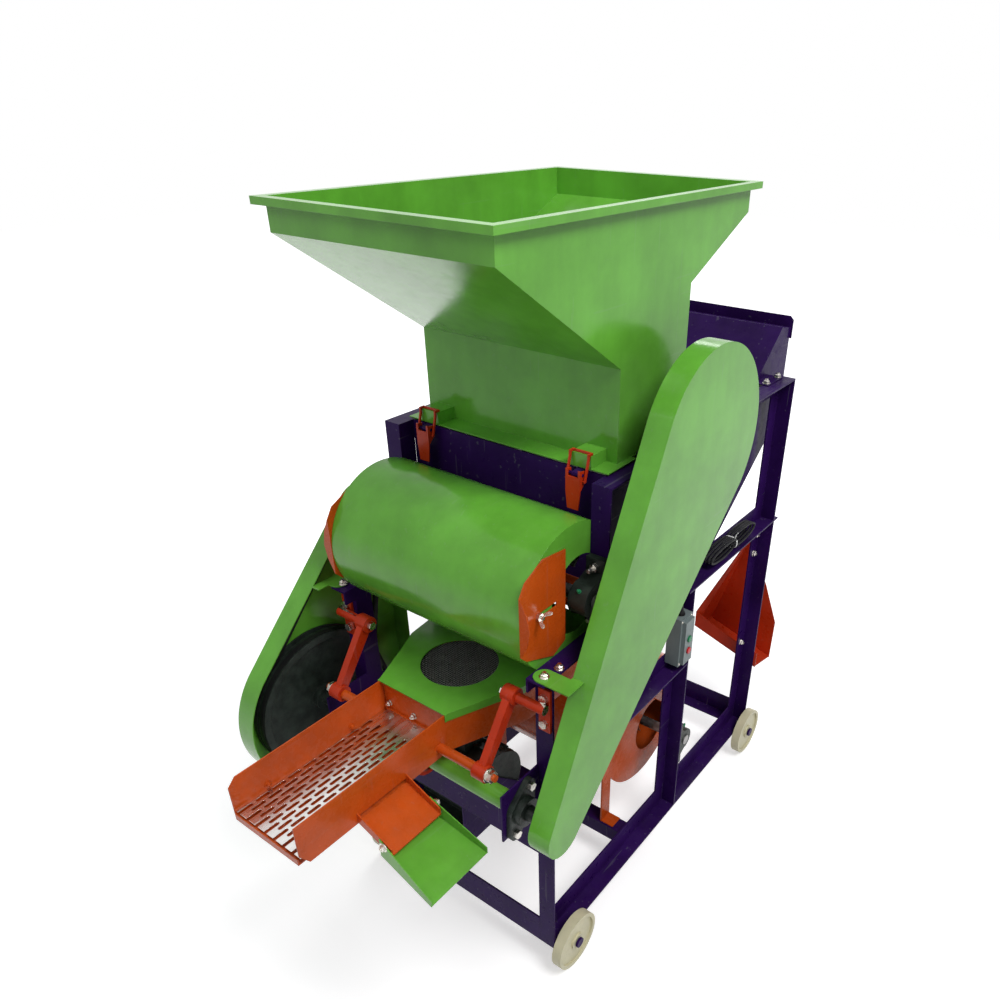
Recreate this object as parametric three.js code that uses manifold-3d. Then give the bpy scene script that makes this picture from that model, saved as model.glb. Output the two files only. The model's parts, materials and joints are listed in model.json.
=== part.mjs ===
import * as THREE from 'three';
import { mergeVertices } from 'three/addons/utils/BufferGeometryUtils.js';
import Module from 'manifold-3d';

// Peanut sheller: hopper and shelling drum over a fan, a shaking sieve and a second blower, all on a
// wheeled angle-iron frame. Millimetres, +Z up, X to the right, Y to the rear.
// Driving sizes are given with Y = 0 on the front face of the base frame and X = 0 in the middle of the
// machine. The last lines move the whole group so that its origin is the bottom centre of the machine.

const wasm = await Module();
wasm.setup();

// Clearances and shared sizes
const gap = 0.3;
const overrun = 6;
const mergeDistance = 0.0001;
const quarterTurn = 90;
const sheet = 2;
const coarseSides = 6;
const smallSides = 8;
const midSides = 12;
const wheelSides = 18;
const loopSegments = 30;

// Angle-iron frame
const iron = { leg: 40, wall: 4 };
const base = { halfWidth: 276, depth: 952, bottom: 83, sideHeight: 62, frontHeight: 75 };
const inner = base.halfWidth - iron.leg;
const innerWall = inner + iron.wall;
const weldBite = iron.wall / 2;
// How far in from the frame's inner faces each housing stops
const insetBy = {
  hopper: 5, drum: 22, fanBlades: 31, duct: 21, motor: 46, cradle: 9, blower: 66, sieve: 78, catchBlock: 51, link: 56,
};
// How far the drives stand out from the frame's outer faces
const outBy = { guardBack: 27, guardFace: 74, pulleyRight: 50, pulleyLeftOuter: 58, pulleyLeftInner: 38, drumShaft: 9 };
const midRail = { face: 331, height: 40 };
const frontMidRail = { bottom: 365, height: 75 };
const midPost = { rearFace: 529 };
const sideRail = { bottom: 550, upright: 40 };
const upperRail = { bottom: 757, upright: 45, front: 503, overhang: 22 };
upperRail.rear = base.depth + upperRail.overhang;
const topRail = { top: 1135, upright: 40, front: 165 };
const shelf = { top: 833, front: -26, upright: 30 };

// Wheels
const wheel = { radius: 67.5, width: 23, rim: 9, web: 13, hubRadius: 19, gapToRail: 2 };
const axle = { radius: 8, inset: 20, frontY: 56, capRadius: 12, cap: 5, plate: 5, plateWidth: 44 };

// Hopper
const hopper = {
  top: 1570, band: 53, frontKneeShare: 0.4, rearKneeShare: 0.647, bottom: 1139,
  front: -60, rear: 686, neckFront: 251, neckRear: 477, halfWidth: inner - insetBy.hopper,
  rimX: 14.5, rimFront: 17, rimRear: 20, rimHeight: 12, flangeFront: 48, flangeSide: 13, flangeRear: 22,
};
hopper.bandBottom = hopper.top - hopper.band;
hopper.frontKnee = hopper.bottom + hopper.frontKneeShare * (hopper.top - hopper.bottom);
hopper.rearKnee = hopper.bottom + hopper.rearKneeShare * (hopper.top - hopper.bottom);
const catchBlock = { x: inner - insetBy.catchBlock, width: 45, height: 26 };

// Shelling drum
const drum = {
  y: 365, radius: 100, halfLength: inner - insetBy.drum, barDepth: 18, barWidth: 14, bars: 8, discRadius: 88, disc: 6,
  shaft: 17.5, shaftLeft: base.halfWidth + outBy.drumShaft,
};
const pillow = {
  height: 30.2, bodyRadius: 29, baseLength: 127, baseHeight: 14, width: 34, boltSpacing: 96, neckShare: 0.62,
  nut: 9, nutHeight: 7, stud: 4.5, studProud: 6,
};
const fanPillow = { ...pillow, height: 36.5, bodyRadius: 34, baseLength: 140, width: 38, boltSpacing: 105, studProud: 14 };
drum.z = topRail.top + gap + pillow.height;
const grate = { radius: 112, depth: 9, ribs: 3, rib: 5, bars: 11, bar: 8, openShare: 0.42 };

// Fan under the front of the hopper, on pillow blocks that are bolted to the front of the posts, and its cover
const fan = {
  y: topRail.front - gap - fanPillow.height, z: 930, shaft: 12.5,
  bladeIn: 44, bladeOut: 94, bladeHalfLength: inner - insetBy.fanBlades, blade: 3, blades: 4, disc: 4, discX: 120,
  discRadius: 62,
};
const barrel = { y: 105, z: 935, radius: 143, halfLength: inner - 2 * gap, inlet: 78, rearCut: 200 };
const shutter = {
  front: -39, rear: 88, bottom: 837, top: 1049, lipFold: -24, lipOut: 20, lipTop: 1002, lipBottom: 884,
  slotFront: 4, slotRear: 62, slotHeight: 9, stud: 3.5, studY: 10, studZ: 944, nutRadius: 8, nut: 6,
};

// Two-bolt flange bearing
const flange = {
  centreRadius: 36, endRadius: 15, plate: 12, boss: 26, bossRadius: 29, boltHead: 9, head: 7, reach: 49.5, turn: -27,
};

// Drive shaft with its eccentric, belts and pulleys
const drive = {
  y: -62, z: 553, shaft: 15, throw: 5, eccentric: 22, eccentricWidth: 24, plateFront: -108, plateBottom: 498,
  plateTop: 612, coverRadius: 20, coverInner: 4, coverWall: 3,
  plateHole: 17.5,
};
const rod = { ring: 9, width: 18, arm: 20, footY: 92 };
const belt = { depth: 9, innerWidth: 8, outerWidth: 12 };
const pulleyPlane = {
  right: base.halfWidth + outBy.pulleyRight, leftOuter: base.halfWidth + outBy.pulleyLeftOuter,
  leftInner: base.halfWidth + outBy.pulleyLeftInner,
};
const pulley = { rim: 7, sideRim: 3, web: 8, hubRadius: 28 };
const sheave = { drum: 134, driveRight: 36, driveLeft: 160, fan: 45, motor: 50, blower: 50 };

// Belt guards
const guard = {
  face: base.halfWidth + outBy.guardFace, back: base.halfWidth + outBy.guardBack, wall: 2, strap: 2.5, strapWidth: 40,
};
const guardRight = { topRadius: 185, topRearward: 25, topDrop: 5, bottomRadius: 50, strapOut: 24 };
const guardLeft = { bigRadius: 190, topRadius: 62, motorRadius: 66 };

// Motor on its cradle
const motor = {
  y: 125, height: 90, radius: 80, fin: 8, finWidth: 5, fins: 16, left: insetBy.motor - inner, length: 190,
  shieldRadius: 74,
  shield: 18, cowlRadius: 84, cowl: 18, shaft: 12, boxWidth: 90, boxDepth: 60, boxHeight: 34, footWidth: 40,
  footSpread: 78, foot: 10,
};
motor.right = motor.left + motor.length;
const cradle = { left: insetBy.cradle - inner, length: 252, plate: 4, top: 240, rear: 225, lip: 20 };
cradle.right = cradle.left + cradle.length;
motor.z = cradle.top + gap + motor.height;

// Lower blower
const blower = {
  z: 290, scrollY: 527, scrollZ: 328, scrollRadius: 175, halfWidth: inner - insetBy.blower, inlet: 72,
  outletDepth: 118, outletGap: 12, shaft: 12.5, bladeIn: 30, bladeOut: 112, bladeHalfLength: 110, blade: 3, blades: 6,
  discRadius: 60, disc: 4, discX: 80, legDepth: 36, legTop: 300, armBottom: 440, armTop: 480,
};
blower.y = midPost.rearFace + gap + pillow.height;

// Sieve hung on four rocker links
const sieve = {
  front: -426, rear: 470, boxHalf: inner - insetBy.sieve, trayNarrower: 70, bottom: 626, height: 89, wall: 2.5,
  deckRise: 20, deckRear: 345, bulkhead: -75, flareStart: -82, lip: 14, screenRise: 18, screenThick: 1.5, notch: 17,
  notchHeight: 26, corner: 16,
};
sieve.trayHalf = sieve.boxHalf - sieve.trayNarrower;
sieve.top = sieve.bottom + sieve.height;
sieve.deck = sieve.bottom + sieve.deckRise;
sieve.screen = sieve.bottom + sieve.screenRise;
blower.outletTop = sieve.bottom - blower.outletGap;
const flareShares = [[0, 0], [0.475, 0.57], [0.72, 0.9], [1, 1]];
const flareLength = 207;
const slot = { rows: 6, count: 10, length: 20, width: 8, pitchY: 30, margin: 6, rearBlank: 24 };
const cover = { lift: 5, thick: 2, front: -87, rear: 240, skirt: 15, windowY: 51, windowRadius: 79 };
const link = {
  upperY: -17, upperZ: 772, lowerY: -105, lowerRise: 24, inner: inner - insetBy.link, width: 28, eye: 17, arm: 16,
  armUpper: 13, armLower: 10, pin: 7, collar: 10, capNut: 9, capNutThick: 8, nut: 12.5, nutThick: 9, washer: 15,
  washerThick: 3, pinProud: 6, rearStep: 507,
};
link.lowerZ = sieve.bottom + link.lowerRise;
const bracket = { width: 26, edge: 2, below: 61, above: 35, plate: 6, boltInset: 19 };
bracket.outer = base.halfWidth - bracket.edge;
bracket.inner = bracket.outer - bracket.width;
bracket.bottom = link.upperZ - bracket.below;
bracket.top = link.upperZ + bracket.above;

// Side chute of the sieve and the kernel chute hinged to it
const sideChute = {
  front: -308, rear: -190, length: 80, inRise: 8, outDrop: 26, wallIn: 16, wallOut: 13, opening: 13,
};
sideChute.out = sieve.trayHalf + sideChute.length;
sideChute.inZ = sieve.bottom + sideChute.inRise;
sideChute.outZ = sieve.bottom - sideChute.outDrop;
const kernelChute = {
  pivotIn: 16, pivotRise: 13, nearOut: 6, nearDrop: 27, farOut: 114, farDrop: 57, flare: 9, wallNear: 19, wallFar: 12,
  ear: 11, pin: 4,
};
kernelChute.pivotX = sideChute.out - kernelChute.pivotIn;
kernelChute.pivotZ = sideChute.outZ + kernelChute.pivotRise;
kernelChute.nearX = kernelChute.pivotX + kernelChute.nearOut;
kernelChute.nearZ = kernelChute.pivotZ - kernelChute.nearDrop;
kernelChute.farX = kernelChute.pivotX + kernelChute.farOut;
kernelChute.farZ = kernelChute.pivotZ - kernelChute.farDrop;

// Chamber, duct and rear chute
const chamber = { front: 205, rear: 500, bottom: 800, wall: 3, panelBottom: 1042, rearBottom: 830 };
const duct = {
  halfWidth: inner - insetBy.duct, front: 503, entryRise: 14, bottomFront: 556, overhang: 78, outletBottom: 1008,
  outletTop: 1230, fold: 49, foldZ: 1239, entryTop: 820, lipTop: 1256, lipOut: 5, tab: 80, tabIn: 18, tabOut: 14,
};
duct.entryBottom = sieve.bottom + duct.entryRise;
duct.rear = base.depth + duct.overhang;
duct.foldY = duct.rear - duct.fold;
duct.tabRear = base.depth - duct.tabIn;
duct.tabFront = duct.tabRear - duct.tab;
const rearChute = {
  standOff: 1, depth: 108, width: 203, overhang: 7, floorLeft: 354, floorRight: 290, drop: 27, wallHeight: 46,
  backTop: 640, strapTop: 715, strap: 30, strapIn: 11,
};
rearChute.front = base.depth + rearChute.standOff;
rearChute.back = base.depth + rearChute.depth;
rearChute.right = base.halfWidth + rearChute.overhang;
rearChute.left = rearChute.right - rearChute.width;
rearChute.strapRight = rearChute.right - rearChute.strapIn;
rearChute.strapLeft = rearChute.strapRight - rearChute.strap;

// Latches
const latch = {
  pivotY: 188, pivotZ: 1132, ear: 16, pin: 3, leverWidth: 32, leverTip: 24, leverTop: 1142, leverBottom: 1066,
  leverSheet: 2.5, cheek: 14, standOff: 9, throw: 11, wire: 2, bailHalf: 20, hookBack: 5,
};

// Switch box and cable
const switchBox = { case: 35, lid: 10, rearGap: 4.3, depth: 50, bottom: 572, top: 700, step: 6 };
switchBox.outer = base.halfWidth;
switchBox.inner = switchBox.outer - switchBox.case;
switchBox.face = switchBox.outer + switchBox.lid;
const button = { radius: 8, proud: 4, depth: 3, greenZ: 643, redZ: 611, travel: 2.5 };
const cable = { radius: 3, sides: 8, steps: 20, tail: 0.5 };
const hank = {
  loops: 3.25, loopSteps: 24, sides: 6, length: 236, height: 46, waistShare: 0.42, pitch: 8.4, y: 728,
  firstX: innerWall + 1.5 * cable.radius,
};

// Finishes
const finish = (color, roughness, metalness) => new THREE.MeshStandardMaterial({ color, roughness, metalness });
const green = finish('#5aa63c', 0.3, 0);
const purple = finish('#3a2058', 0.45, 0);
const orange = finish('#d2461c', 0.35, 0);
const linkRed = finish('#c23218', 0.35, 0);
const blackIron = finish('#1c211f', 0.5, 0.2);
const steel = finish('#9a9c9e', 0.35, 1);
const screenSteel = finish('#c8c8c6', 0.25, 1);
const rubber = finish('#151515', 0.8, 0);
const nylon = finish('#e6dfba', 0.5, 0);
const boxGrey = finish('#737d7d', 0.5, 0);
const startGreen = finish('#1f7a45', 0.4, 0);
const stopRed = finish('#b8202a', 0.4, 0);

const machine = new THREE.Group();

function add(name, made, material) {
  const raw = made.getMesh();
  const geometry = new THREE.BufferGeometry();
  const positions = new Float32Array(raw.numVert * 3);
  for (let i = 0; i < raw.numVert; i++) {
    positions.set(raw.vertProperties.subarray(i * raw.numProp, i * raw.numProp + 3), i * 3);
  }
  geometry.setAttribute('position', new THREE.BufferAttribute(positions, 3));
  geometry.setIndex(new THREE.BufferAttribute(raw.triVerts, 1));
  geometry.computeVertexNormals();
  const mesh = new THREE.Mesh(geometry, material);
  mesh.name = name;
  machine.add(mesh);
}

// Solids from geometries

function manifoldOf(vertProperties, triVerts) {
  return new wasm.Manifold(new wasm.Mesh({ numProp: 3, vertProperties, triVerts }));
}

function solid(geometry) {
  const loose = geometry.index ? geometry.toNonIndexed() : geometry;
  const bare = new THREE.BufferGeometry().setAttribute('position', loose.getAttribute('position'));
  const merged = mergeVertices(bare, mergeDistance);
  const corners = merged.index.array;
  const kept = [];
  for (let i = 0; i < corners.length; i += 3) {
    const [a, b, c] = [corners[i], corners[i + 1], corners[i + 2]];
    if (a !== b && b !== c && c !== a) kept.push(a, b, c);
  }
  const points = merged.attributes.position.array;
  const made = manifoldOf(points, new Uint32Array(kept));
  if (made.volume() > 0) return made;
  for (let i = 0; i < kept.length; i += 3) [kept[i], kept[i + 1]] = [kept[i + 1], kept[i]];
  return manifoldOf(points, new Uint32Array(kept));
}

function join(...pieces) {
  return pieces.flat().reduce((whole, piece) => whole.add(piece));
}

function box(x, y, z) {
  const size = ([a, b]) => Math.abs(b - a);
  const mid = ([a, b]) => (a + b) / 2;
  return solid(new THREE.BoxGeometry(size(x), size(y), size(z)).translate(mid(x), mid(y), mid(z)));
}

function shapeOf(points) {
  return new THREE.Shape(points.map(([a, b]) => new THREE.Vector2(a, b)));
}

const unitX = new THREE.Vector3(1, 0, 0);
const unitY = new THREE.Vector3(0, 1, 0);
const unitZ = new THREE.Vector3(0, 0, 1);

function extruded(shape, from, to) {
  const depth = Math.abs(to - from);
  return new THREE.ExtrudeGeometry(shape, { depth, bevelEnabled: false, curveSegments: coarseSides });
}

// A profile of [y, z] points, extruded from one x to another
function prismX(points, from, to) {
  const geometry = extruded(shapeOf(points), from, to);
  const matrix = new THREE.Matrix4().makeBasis(unitY, unitZ, unitX).setPosition(Math.min(from, to), 0, 0);
  return solid(geometry.applyMatrix4(matrix));
}

// A profile of [x, z] points, extruded from one y to another
function prismY(points, from, to) {
  const geometry = extruded(shapeOf(points), from, to);
  const backwards = unitY.clone().negate();
  const matrix = new THREE.Matrix4().makeBasis(unitX, unitZ, backwards).setPosition(0, Math.max(from, to), 0);
  return solid(geometry.applyMatrix4(matrix));
}

// A profile of [x, y] points, extruded from one z to another
function prismZ(shape, from, to) {
  const outline = Array.isArray(shape) ? shapeOf(shape) : shape;
  return solid(extruded(outline, from, to).translate(0, 0, Math.min(from, to)));
}

// A bar with flat sides along X, with a flat side at its foot
function barX(radius, x, y, z, sides = midSides) {
  const geometry = new THREE.CylinderGeometry(radius, radius, Math.abs(x[1] - x[0]), sides, 1, false, Math.PI / sides);
  return solid(geometry.rotateZ(-Math.PI / 2).translate((x[0] + x[1]) / 2, y, z));
}

function barY(radius, x, y, z, sides = smallSides) {
  const geometry = new THREE.CylinderGeometry(radius, radius, Math.abs(y[1] - y[0]), sides);
  return solid(geometry.translate(x, (y[0] + y[1]) / 2, z));
}

// The radius of a bore whose flats stay clear of a shaft as it turns
function boreFor(shaft, sides = midSides) {
  return (shaft + gap) / Math.cos(Math.PI / sides);
}

// A profile of [x, radius] points turned about the X axis through y and z
function revolveX(profile, y, z, sides = midSides) {
  const points = profile.map(([x, radius]) => new THREE.Vector2(radius, x));
  const geometry = new THREE.LatheGeometry(points, sides, Math.PI / sides);
  return solid(geometry.rotateZ(-Math.PI / 2).translate(0, y, z));
}

function turned(geometry, angle, y, z) {
  return solid(geometry.rotateX(angle).translate(0, y, z));
}

// The loop that a belt takes round circles {y, z, radius}: points with their outward directions
function loopRound(circles, segments = loopSegments) {
  const points = circles.flatMap(({ y, z, radius }) =>
    Array.from({ length: segments }, (_, i) => {
      const angle = (2 * Math.PI * (i + 0.5)) / segments;
      const [ny, nz] = [Math.cos(angle), Math.sin(angle)];
      return { y: y + radius * ny, z: z + radius * nz, ny, nz };
    }),
  );
  points.sort((a, b) => a.y - b.y || a.z - b.z);
  const half = (list) => {
    const hull = [];
    for (const point of list) {
      while (hull.length > 1) {
        const [a, b] = hull.slice(-2);
        const cross = (b.y - a.y) * (point.z - a.z) - (b.z - a.z) * (point.y - a.y);
        if (cross > 0) break;
        hull.pop();
      }
      hull.push(point);
    }
    return hull.slice(0, -1);
  };
  return [...half(points), ...half([...points].reverse())];
}

function outset(loop, distance) {
  return loop.map(({ y, z, ny, nz }) => [y + distance * ny, z + distance * nz]);
}

// An outline moved inwards by a distance, corner by corner
function inset(points, distance) {
  const count = points.length;
  const area = points.reduce((sum, [a, b], i) => {
    const [c, d] = points[(i + 1) % count];
    return sum + a * d - c * b;
  }, 0);
  const side = Math.sign(area) * distance;
  const edges = points.map(([a, b], i) => {
    const [c, d] = points[(i + 1) % count];
    const length = Math.hypot(c - a, d - b);
    const [dx, dy] = [(c - a) / length, (d - b) / length];
    return { x: a - side * dy, y: b + side * dx, dx, dy };
  });
  return edges.map((edge, i) => {
    const before = edges[(i + count - 1) % count];
    const cross = before.dx * edge.dy - before.dy * edge.dx;
    const along = ((edge.x - before.x) * edge.dy - (edge.y - before.y) * edge.dx) / cross;
    return [before.x + along * before.dx, before.y + along * before.dy];
  });
}

// A sheet of even thickness on three or four corners [x, y, z]
function panel(corners, thickness) {
  const points = corners.map((corner) => new THREE.Vector3(...corner));
  const normal = points[1].clone().sub(points[0]).cross(points[2].clone().sub(points[0])).normalize();
  const back = points.map((point) => point.clone().addScaledVector(normal, -thickness));
  const count = points.length;
  const faces = [];
  for (let i = 1; i < count - 1; i++) {
    faces.push(points[0], points[i], points[i + 1], back[0], back[i + 1], back[i]);
  }
  for (let i = 0; i < count; i++) {
    const next = (i + 1) % count;
    faces.push(points[i], back[i], back[next], points[i], back[next], points[next]);
  }
  return solid(new THREE.BufferGeometry().setFromPoints(faces));
}

// A body swept through rings of points; it is closed by its ends, or by its last ring being its first
function swept(rings) {
  const faces = [];
  for (let i = 0; i < rings.length - 1; i++) {
    const [ring, next] = [rings[i], rings[i + 1]];
    ring.forEach((_, k) => {
      const m = (k + 1) % ring.length;
      faces.push(ring[k], next[k], next[m], ring[k], next[m], ring[m]);
    });
  }
  const [first, last] = [rings[0], rings[rings.length - 1]];
  for (let k = 1; first !== last && k < first.length - 1; k++) {
    faces.push(first[0], first[k], first[k + 1], last[0], last[k + 1], last[k]);
  }
  return solid(new THREE.BufferGeometry().setFromPoints(faces));
}

// A round cord along a path that never runs straight along X
function cord(path, radius, sides) {
  return swept(path.map((point, i) => {
    const along = path[Math.min(i + 1, path.length - 1)].clone().sub(path[Math.max(i - 1, 0)]).normalize();
    const across = unitX.clone().addScaledVector(along, -along.x).normalize();
    const up = along.clone().cross(across);
    return Array.from({ length: sides }, (_, k) => {
      const angle = (2 * Math.PI * k) / sides;
      return point.clone().addScaledVector(across, radius * Math.cos(angle)).addScaledVector(up, radius * Math.sin(angle));
    });
  }));
}

function hexHeadX(radius, x, y, z) {
  return barX(radius, x, y, z, 6);
}

// Frame

function baseFrame() {
  const { halfWidth, depth, bottom, sideHeight, frontHeight } = base;
  const top = bottom + iron.wall;
  const pieces = [];
  for (const side of [1, -1]) {
    pieces.push(box([side * inner, side * halfWidth], [0, depth], [bottom, top]));
    pieces.push(box([side * inner, side * innerWall], [0, depth], [bottom, bottom + sideHeight]));
    for (const y of [axle.frontY, depth - axle.inset]) pieces.push(axleAt(side, y));
  }
  const reach = [-inner - weldBite, inner + weldBite];
  pieces.push(box([-inner + gap, inner - gap], [0, iron.wall], [bottom, bottom + frontHeight]));
  pieces.push(box(reach, [0, iron.leg], [bottom, top]));
  const midTop = bottom + midRail.height;
  pieces.push(box(reach, [midRail.face, midRail.face + iron.wall], [bottom, midTop]));
  pieces.push(box(reach, [midRail.face, midRail.face + iron.leg], [midTop - iron.wall, midTop]));
  pieces.push(box(reach, [depth - iron.wall, depth], [bottom, bottom + sideHeight]));
  pieces.push(box(reach, [depth - iron.leg, depth], [bottom, top]));
  return join(pieces);
}

const wheelZ = wheel.radius * Math.cos(Math.PI / wheelSides);
const wheelInner = base.halfWidth + wheel.gapToRail;

function axleAt(side, y) {
  const plateIn = base.halfWidth - axle.inset;
  const end = wheelInner + wheel.width + wheel.gapToRail;
  const half = axle.plateWidth / 2;
  const outline = [[y - half, base.bottom + weldBite], [y + half, base.bottom + weldBite],
    [y + axle.radius, wheelZ - axle.capRadius], [y - axle.radius, wheelZ - axle.capRadius]];
  return join(
    prismX(outline, side * plateIn, side * (plateIn + axle.plate)),
    barX(axle.radius, [side * plateIn, side * end], y, wheelZ, smallSides),
    barX(axle.capRadius, [side * end, side * (end + axle.cap)], y, wheelZ, smallSides),
  );
}

// A post: one leg faces front or rear, the other runs along the machine
function post(side, face, along, top) {
  const bottom = base.bottom + iron.wall + gap;
  const railTop = base.bottom + base.sideHeight + gap;
  return join(
    box([side * (innerWall + gap), side * base.halfWidth], face, [bottom, railTop + weldBite]),
    box([side * inner, side * base.halfWidth], face, [railTop, top]),
    box([side * inner, side * innerWall], along, [railTop, top]),
  );
}

// A rail along the machine with a flat leg outwards and an upright leg on its inner side
function rail(side, y, flat, upright) {
  return join(
    box([side * inner, side * base.halfWidth], y, flat),
    box([side * inner, side * innerWall], y, upright),
  );
}

function sideFrame(side) {
  const { wall, leg } = iron;
  const midFront = midPost.rearFace - wall;
  const rearFront = base.depth - wall;
  const sideTop = sideRail.bottom + wall;
  const upperTop = upperRail.bottom + wall;
  const topUnder = topRail.top - wall;
  const driveHole = barX(drive.plateHole, [side * (inner - overrun), side * base.halfWidth], drive.y, drive.z);
  const plate = box([side * inner, side * innerWall], [drive.plateFront, leg], [drive.plateBottom, drive.plateTop]);
  return join(
    post(side, [0, wall], [0, leg], shelf.top),
    post(side, [midFront, midPost.rearFace], [midPost.rearFace - leg - wall, midPost.rearFace], upperTop),
    post(side, [rearFront, base.depth], [base.depth - leg - wall, base.depth], topRail.top),
    rail(side, [wall - weldBite, midPost.rearFace - weldBite], [sideRail.bottom, sideTop],
      [sideRail.bottom, sideRail.bottom + sideRail.upright]),
    rail(side, [upperRail.front, upperRail.rear], [upperRail.bottom, upperTop],
      [upperRail.bottom, upperRail.bottom + upperRail.upright]),
    rail(side, [topRail.front, base.depth], [topUnder, topRail.top], [topRail.top - topRail.upright, topRail.top]),
    box([side * inner, side * base.halfWidth], [topRail.front, topRail.front + wall], [shelf.top - wall, topRail.top]),
    box([side * inner, side * innerWall], [topRail.front, topRail.front + leg], [shelf.top - wall, topRail.top]),
    rail(side, [shelf.front, topRail.front + wall], [shelf.top - wall, shelf.top],
      [shelf.top - shelf.upright, shelf.top]),
    plate.subtract(driveHole),
    rearHanger(side),
  );
}

// The pin that carries a rear rocker link, on a plate under the upper rail
function rearHanger(side) {
  const y = link.upperY + link.rearStep;
  const half = (bracket.outer - bracket.inner) / 2;
  return join(
    box([side * inner, side * innerWall], [y - half, upperRail.front + iron.leg],
      [link.upperZ - link.eye, link.upperZ + link.eye]),
    barX(link.collar, [side * innerWall, side * (link.inner + link.width + gap)], y, link.upperZ, smallSides),
    hangerPin(side, y, link.upperZ),
  );
}

// Pin, and a nut at its inner end, that hold the eye of a rocker link
function hangerPin(side, y, z) {
  const eyeIn = link.inner - gap;
  const eyeOut = link.inner + link.width + link.collar;
  return join(
    barX(link.pin, [side * (eyeIn - weldBite), side * eyeOut], y, z, smallSides),
    hexHeadX(link.capNut, [side * (eyeIn - link.capNutThick), side * eyeIn], y, z),
  );
}

// Cross rail between the front posts, with the cradle that hangs the motor behind it
function frontMidRailAndCradle() {
  const { bottom, height } = frontMidRail;
  const top = bottom + height;
  const cheek = [[weldBite, top - iron.wall], [weldBite, cradle.top - cradle.plate],
    [cradle.rear, cradle.top - cradle.plate], [cradle.rear, cradle.top + cradle.lip], [iron.leg, top - iron.wall]];
  const { left, right, plate } = cradle;
  const shaftHole = barX(motor.shaft + overrun, [left - overrun, left + plate + overrun], motor.y, motor.z);
  return join(
    box([-inner + gap, inner - gap], [0, iron.wall], [bottom, top]),
    box([-inner + gap, inner - gap], [0, iron.leg], [top - iron.wall, top]),
    box([left, right], [weldBite, cradle.rear], [cradle.top - plate, cradle.top]),
    prismX(cheek, left, left + plate).subtract(shaftHole),
    prismX(cheek, right - plate, right),
  );
}

// [x, radius] points of a wheel with a bore, a hub, a thin web and a rim
function wheelProfile(side) {
  const { radius, width, rim, web, hubRadius } = wheel;
  const x0 = side * wheelInner;
  const x1 = side * (wheelInner + width);
  const mid = (x0 + x1) / 2;
  const [w0, w1] = [mid - (side * web) / 2, mid + (side * web) / 2];
  const bore = boreFor(axle.radius, wheelSides);
  const half = [[x0, hubRadius], [w0, hubRadius], [w0, radius - rim], [x0, radius - rim], [x0, radius]];
  const other = [[x1, radius], [x1, radius - rim], [w1, radius - rim], [w1, hubRadius], [x1, hubRadius]];
  return [[x0, bore], ...half, ...other, [x1, bore], [x0, bore]];
}

// Hopper

function hopperProfile() {
  const h = hopper;
  return [[h.neckFront, h.bottom], [h.neckRear, h.bottom], [h.neckRear, h.rearKnee], [h.rear, h.bandBottom],
    [h.rear, h.top], [h.front, h.top], [h.front, h.bandBottom], [h.neckFront, h.frontKnee]];
}

function hopperBody() {
  const h = hopper;
  const outer = hopperProfile();
  const cavity = inset(outer, sheet).map(([y, z]) => {
    if (z < h.bottom + overrun) return [y, h.bottom - overrun];
    return z > h.top - overrun ? [y, h.top + overrun] : [y, z];
  });
  const body = join(prismX(outer, -h.halfWidth, h.halfWidth), hopperRim(), hopperFlange());
  const inside = prismX(cavity, -h.halfWidth + sheet, h.halfWidth - sheet);
  return join(body.subtract(inside).subtract(shaftNotches()), catchBlocks());
}

// The rim is folded out and down round the mouth
function hopperRim() {
  const h = hopper;
  const low = h.top - h.rimHeight;
  const [x, y0, y1] = [h.halfWidth + h.rimX, h.front - h.rimFront, h.rear + h.rimRear];
  const lip = box([-x, x], [y0, y1], [low, h.top]);
  const under = box([-x + sheet, x - sheet], [y0 + sheet, y1 - sheet], [low - overrun, h.top - sheet]);
  return lip.subtract(under);
}

// The flange at the foot of the neck, cut back round the bearings
function hopperFlange() {
  const h = hopper;
  const x = h.halfWidth + h.flangeSide;
  const z = [h.bottom, h.bottom + sheet];
  const plate = box([-x, x], [h.neckFront - h.flangeFront, h.neckRear + h.flangeRear], z);
  const clear = pillow.baseLength / 2 + overrun;
  const cut = (side) => box([side * (h.halfWidth + sheet), side * (x + overrun)], [drum.y - clear, drum.y + clear],
    [h.bottom - overrun, h.bottom + overrun]);
  return plate.subtract(cut(1)).subtract(cut(-1));
}

function shaftNotches() {
  const reach = hopper.halfWidth + overrun;
  const radius = drum.shaft + overrun;
  return join(
    barX(radius, [-reach, reach], drum.y, drum.z),
    box([-reach, reach], [drum.y - radius, drum.y + radius], [hopper.bottom - overrun, drum.z]),
  );
}

function catchBlocks() {
  const half = catchBlock.width / 2;
  const y = [hopper.neckFront - hopper.flangeFront, hopper.neckFront];
  const z = [hopper.bottom, hopper.bottom + catchBlock.height];
  return [1, -1].map((side) => box([side * catchBlock.x - half, side * catchBlock.x + half], y, z));
}

// Shelling drum, its bearings and the grate under it

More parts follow.
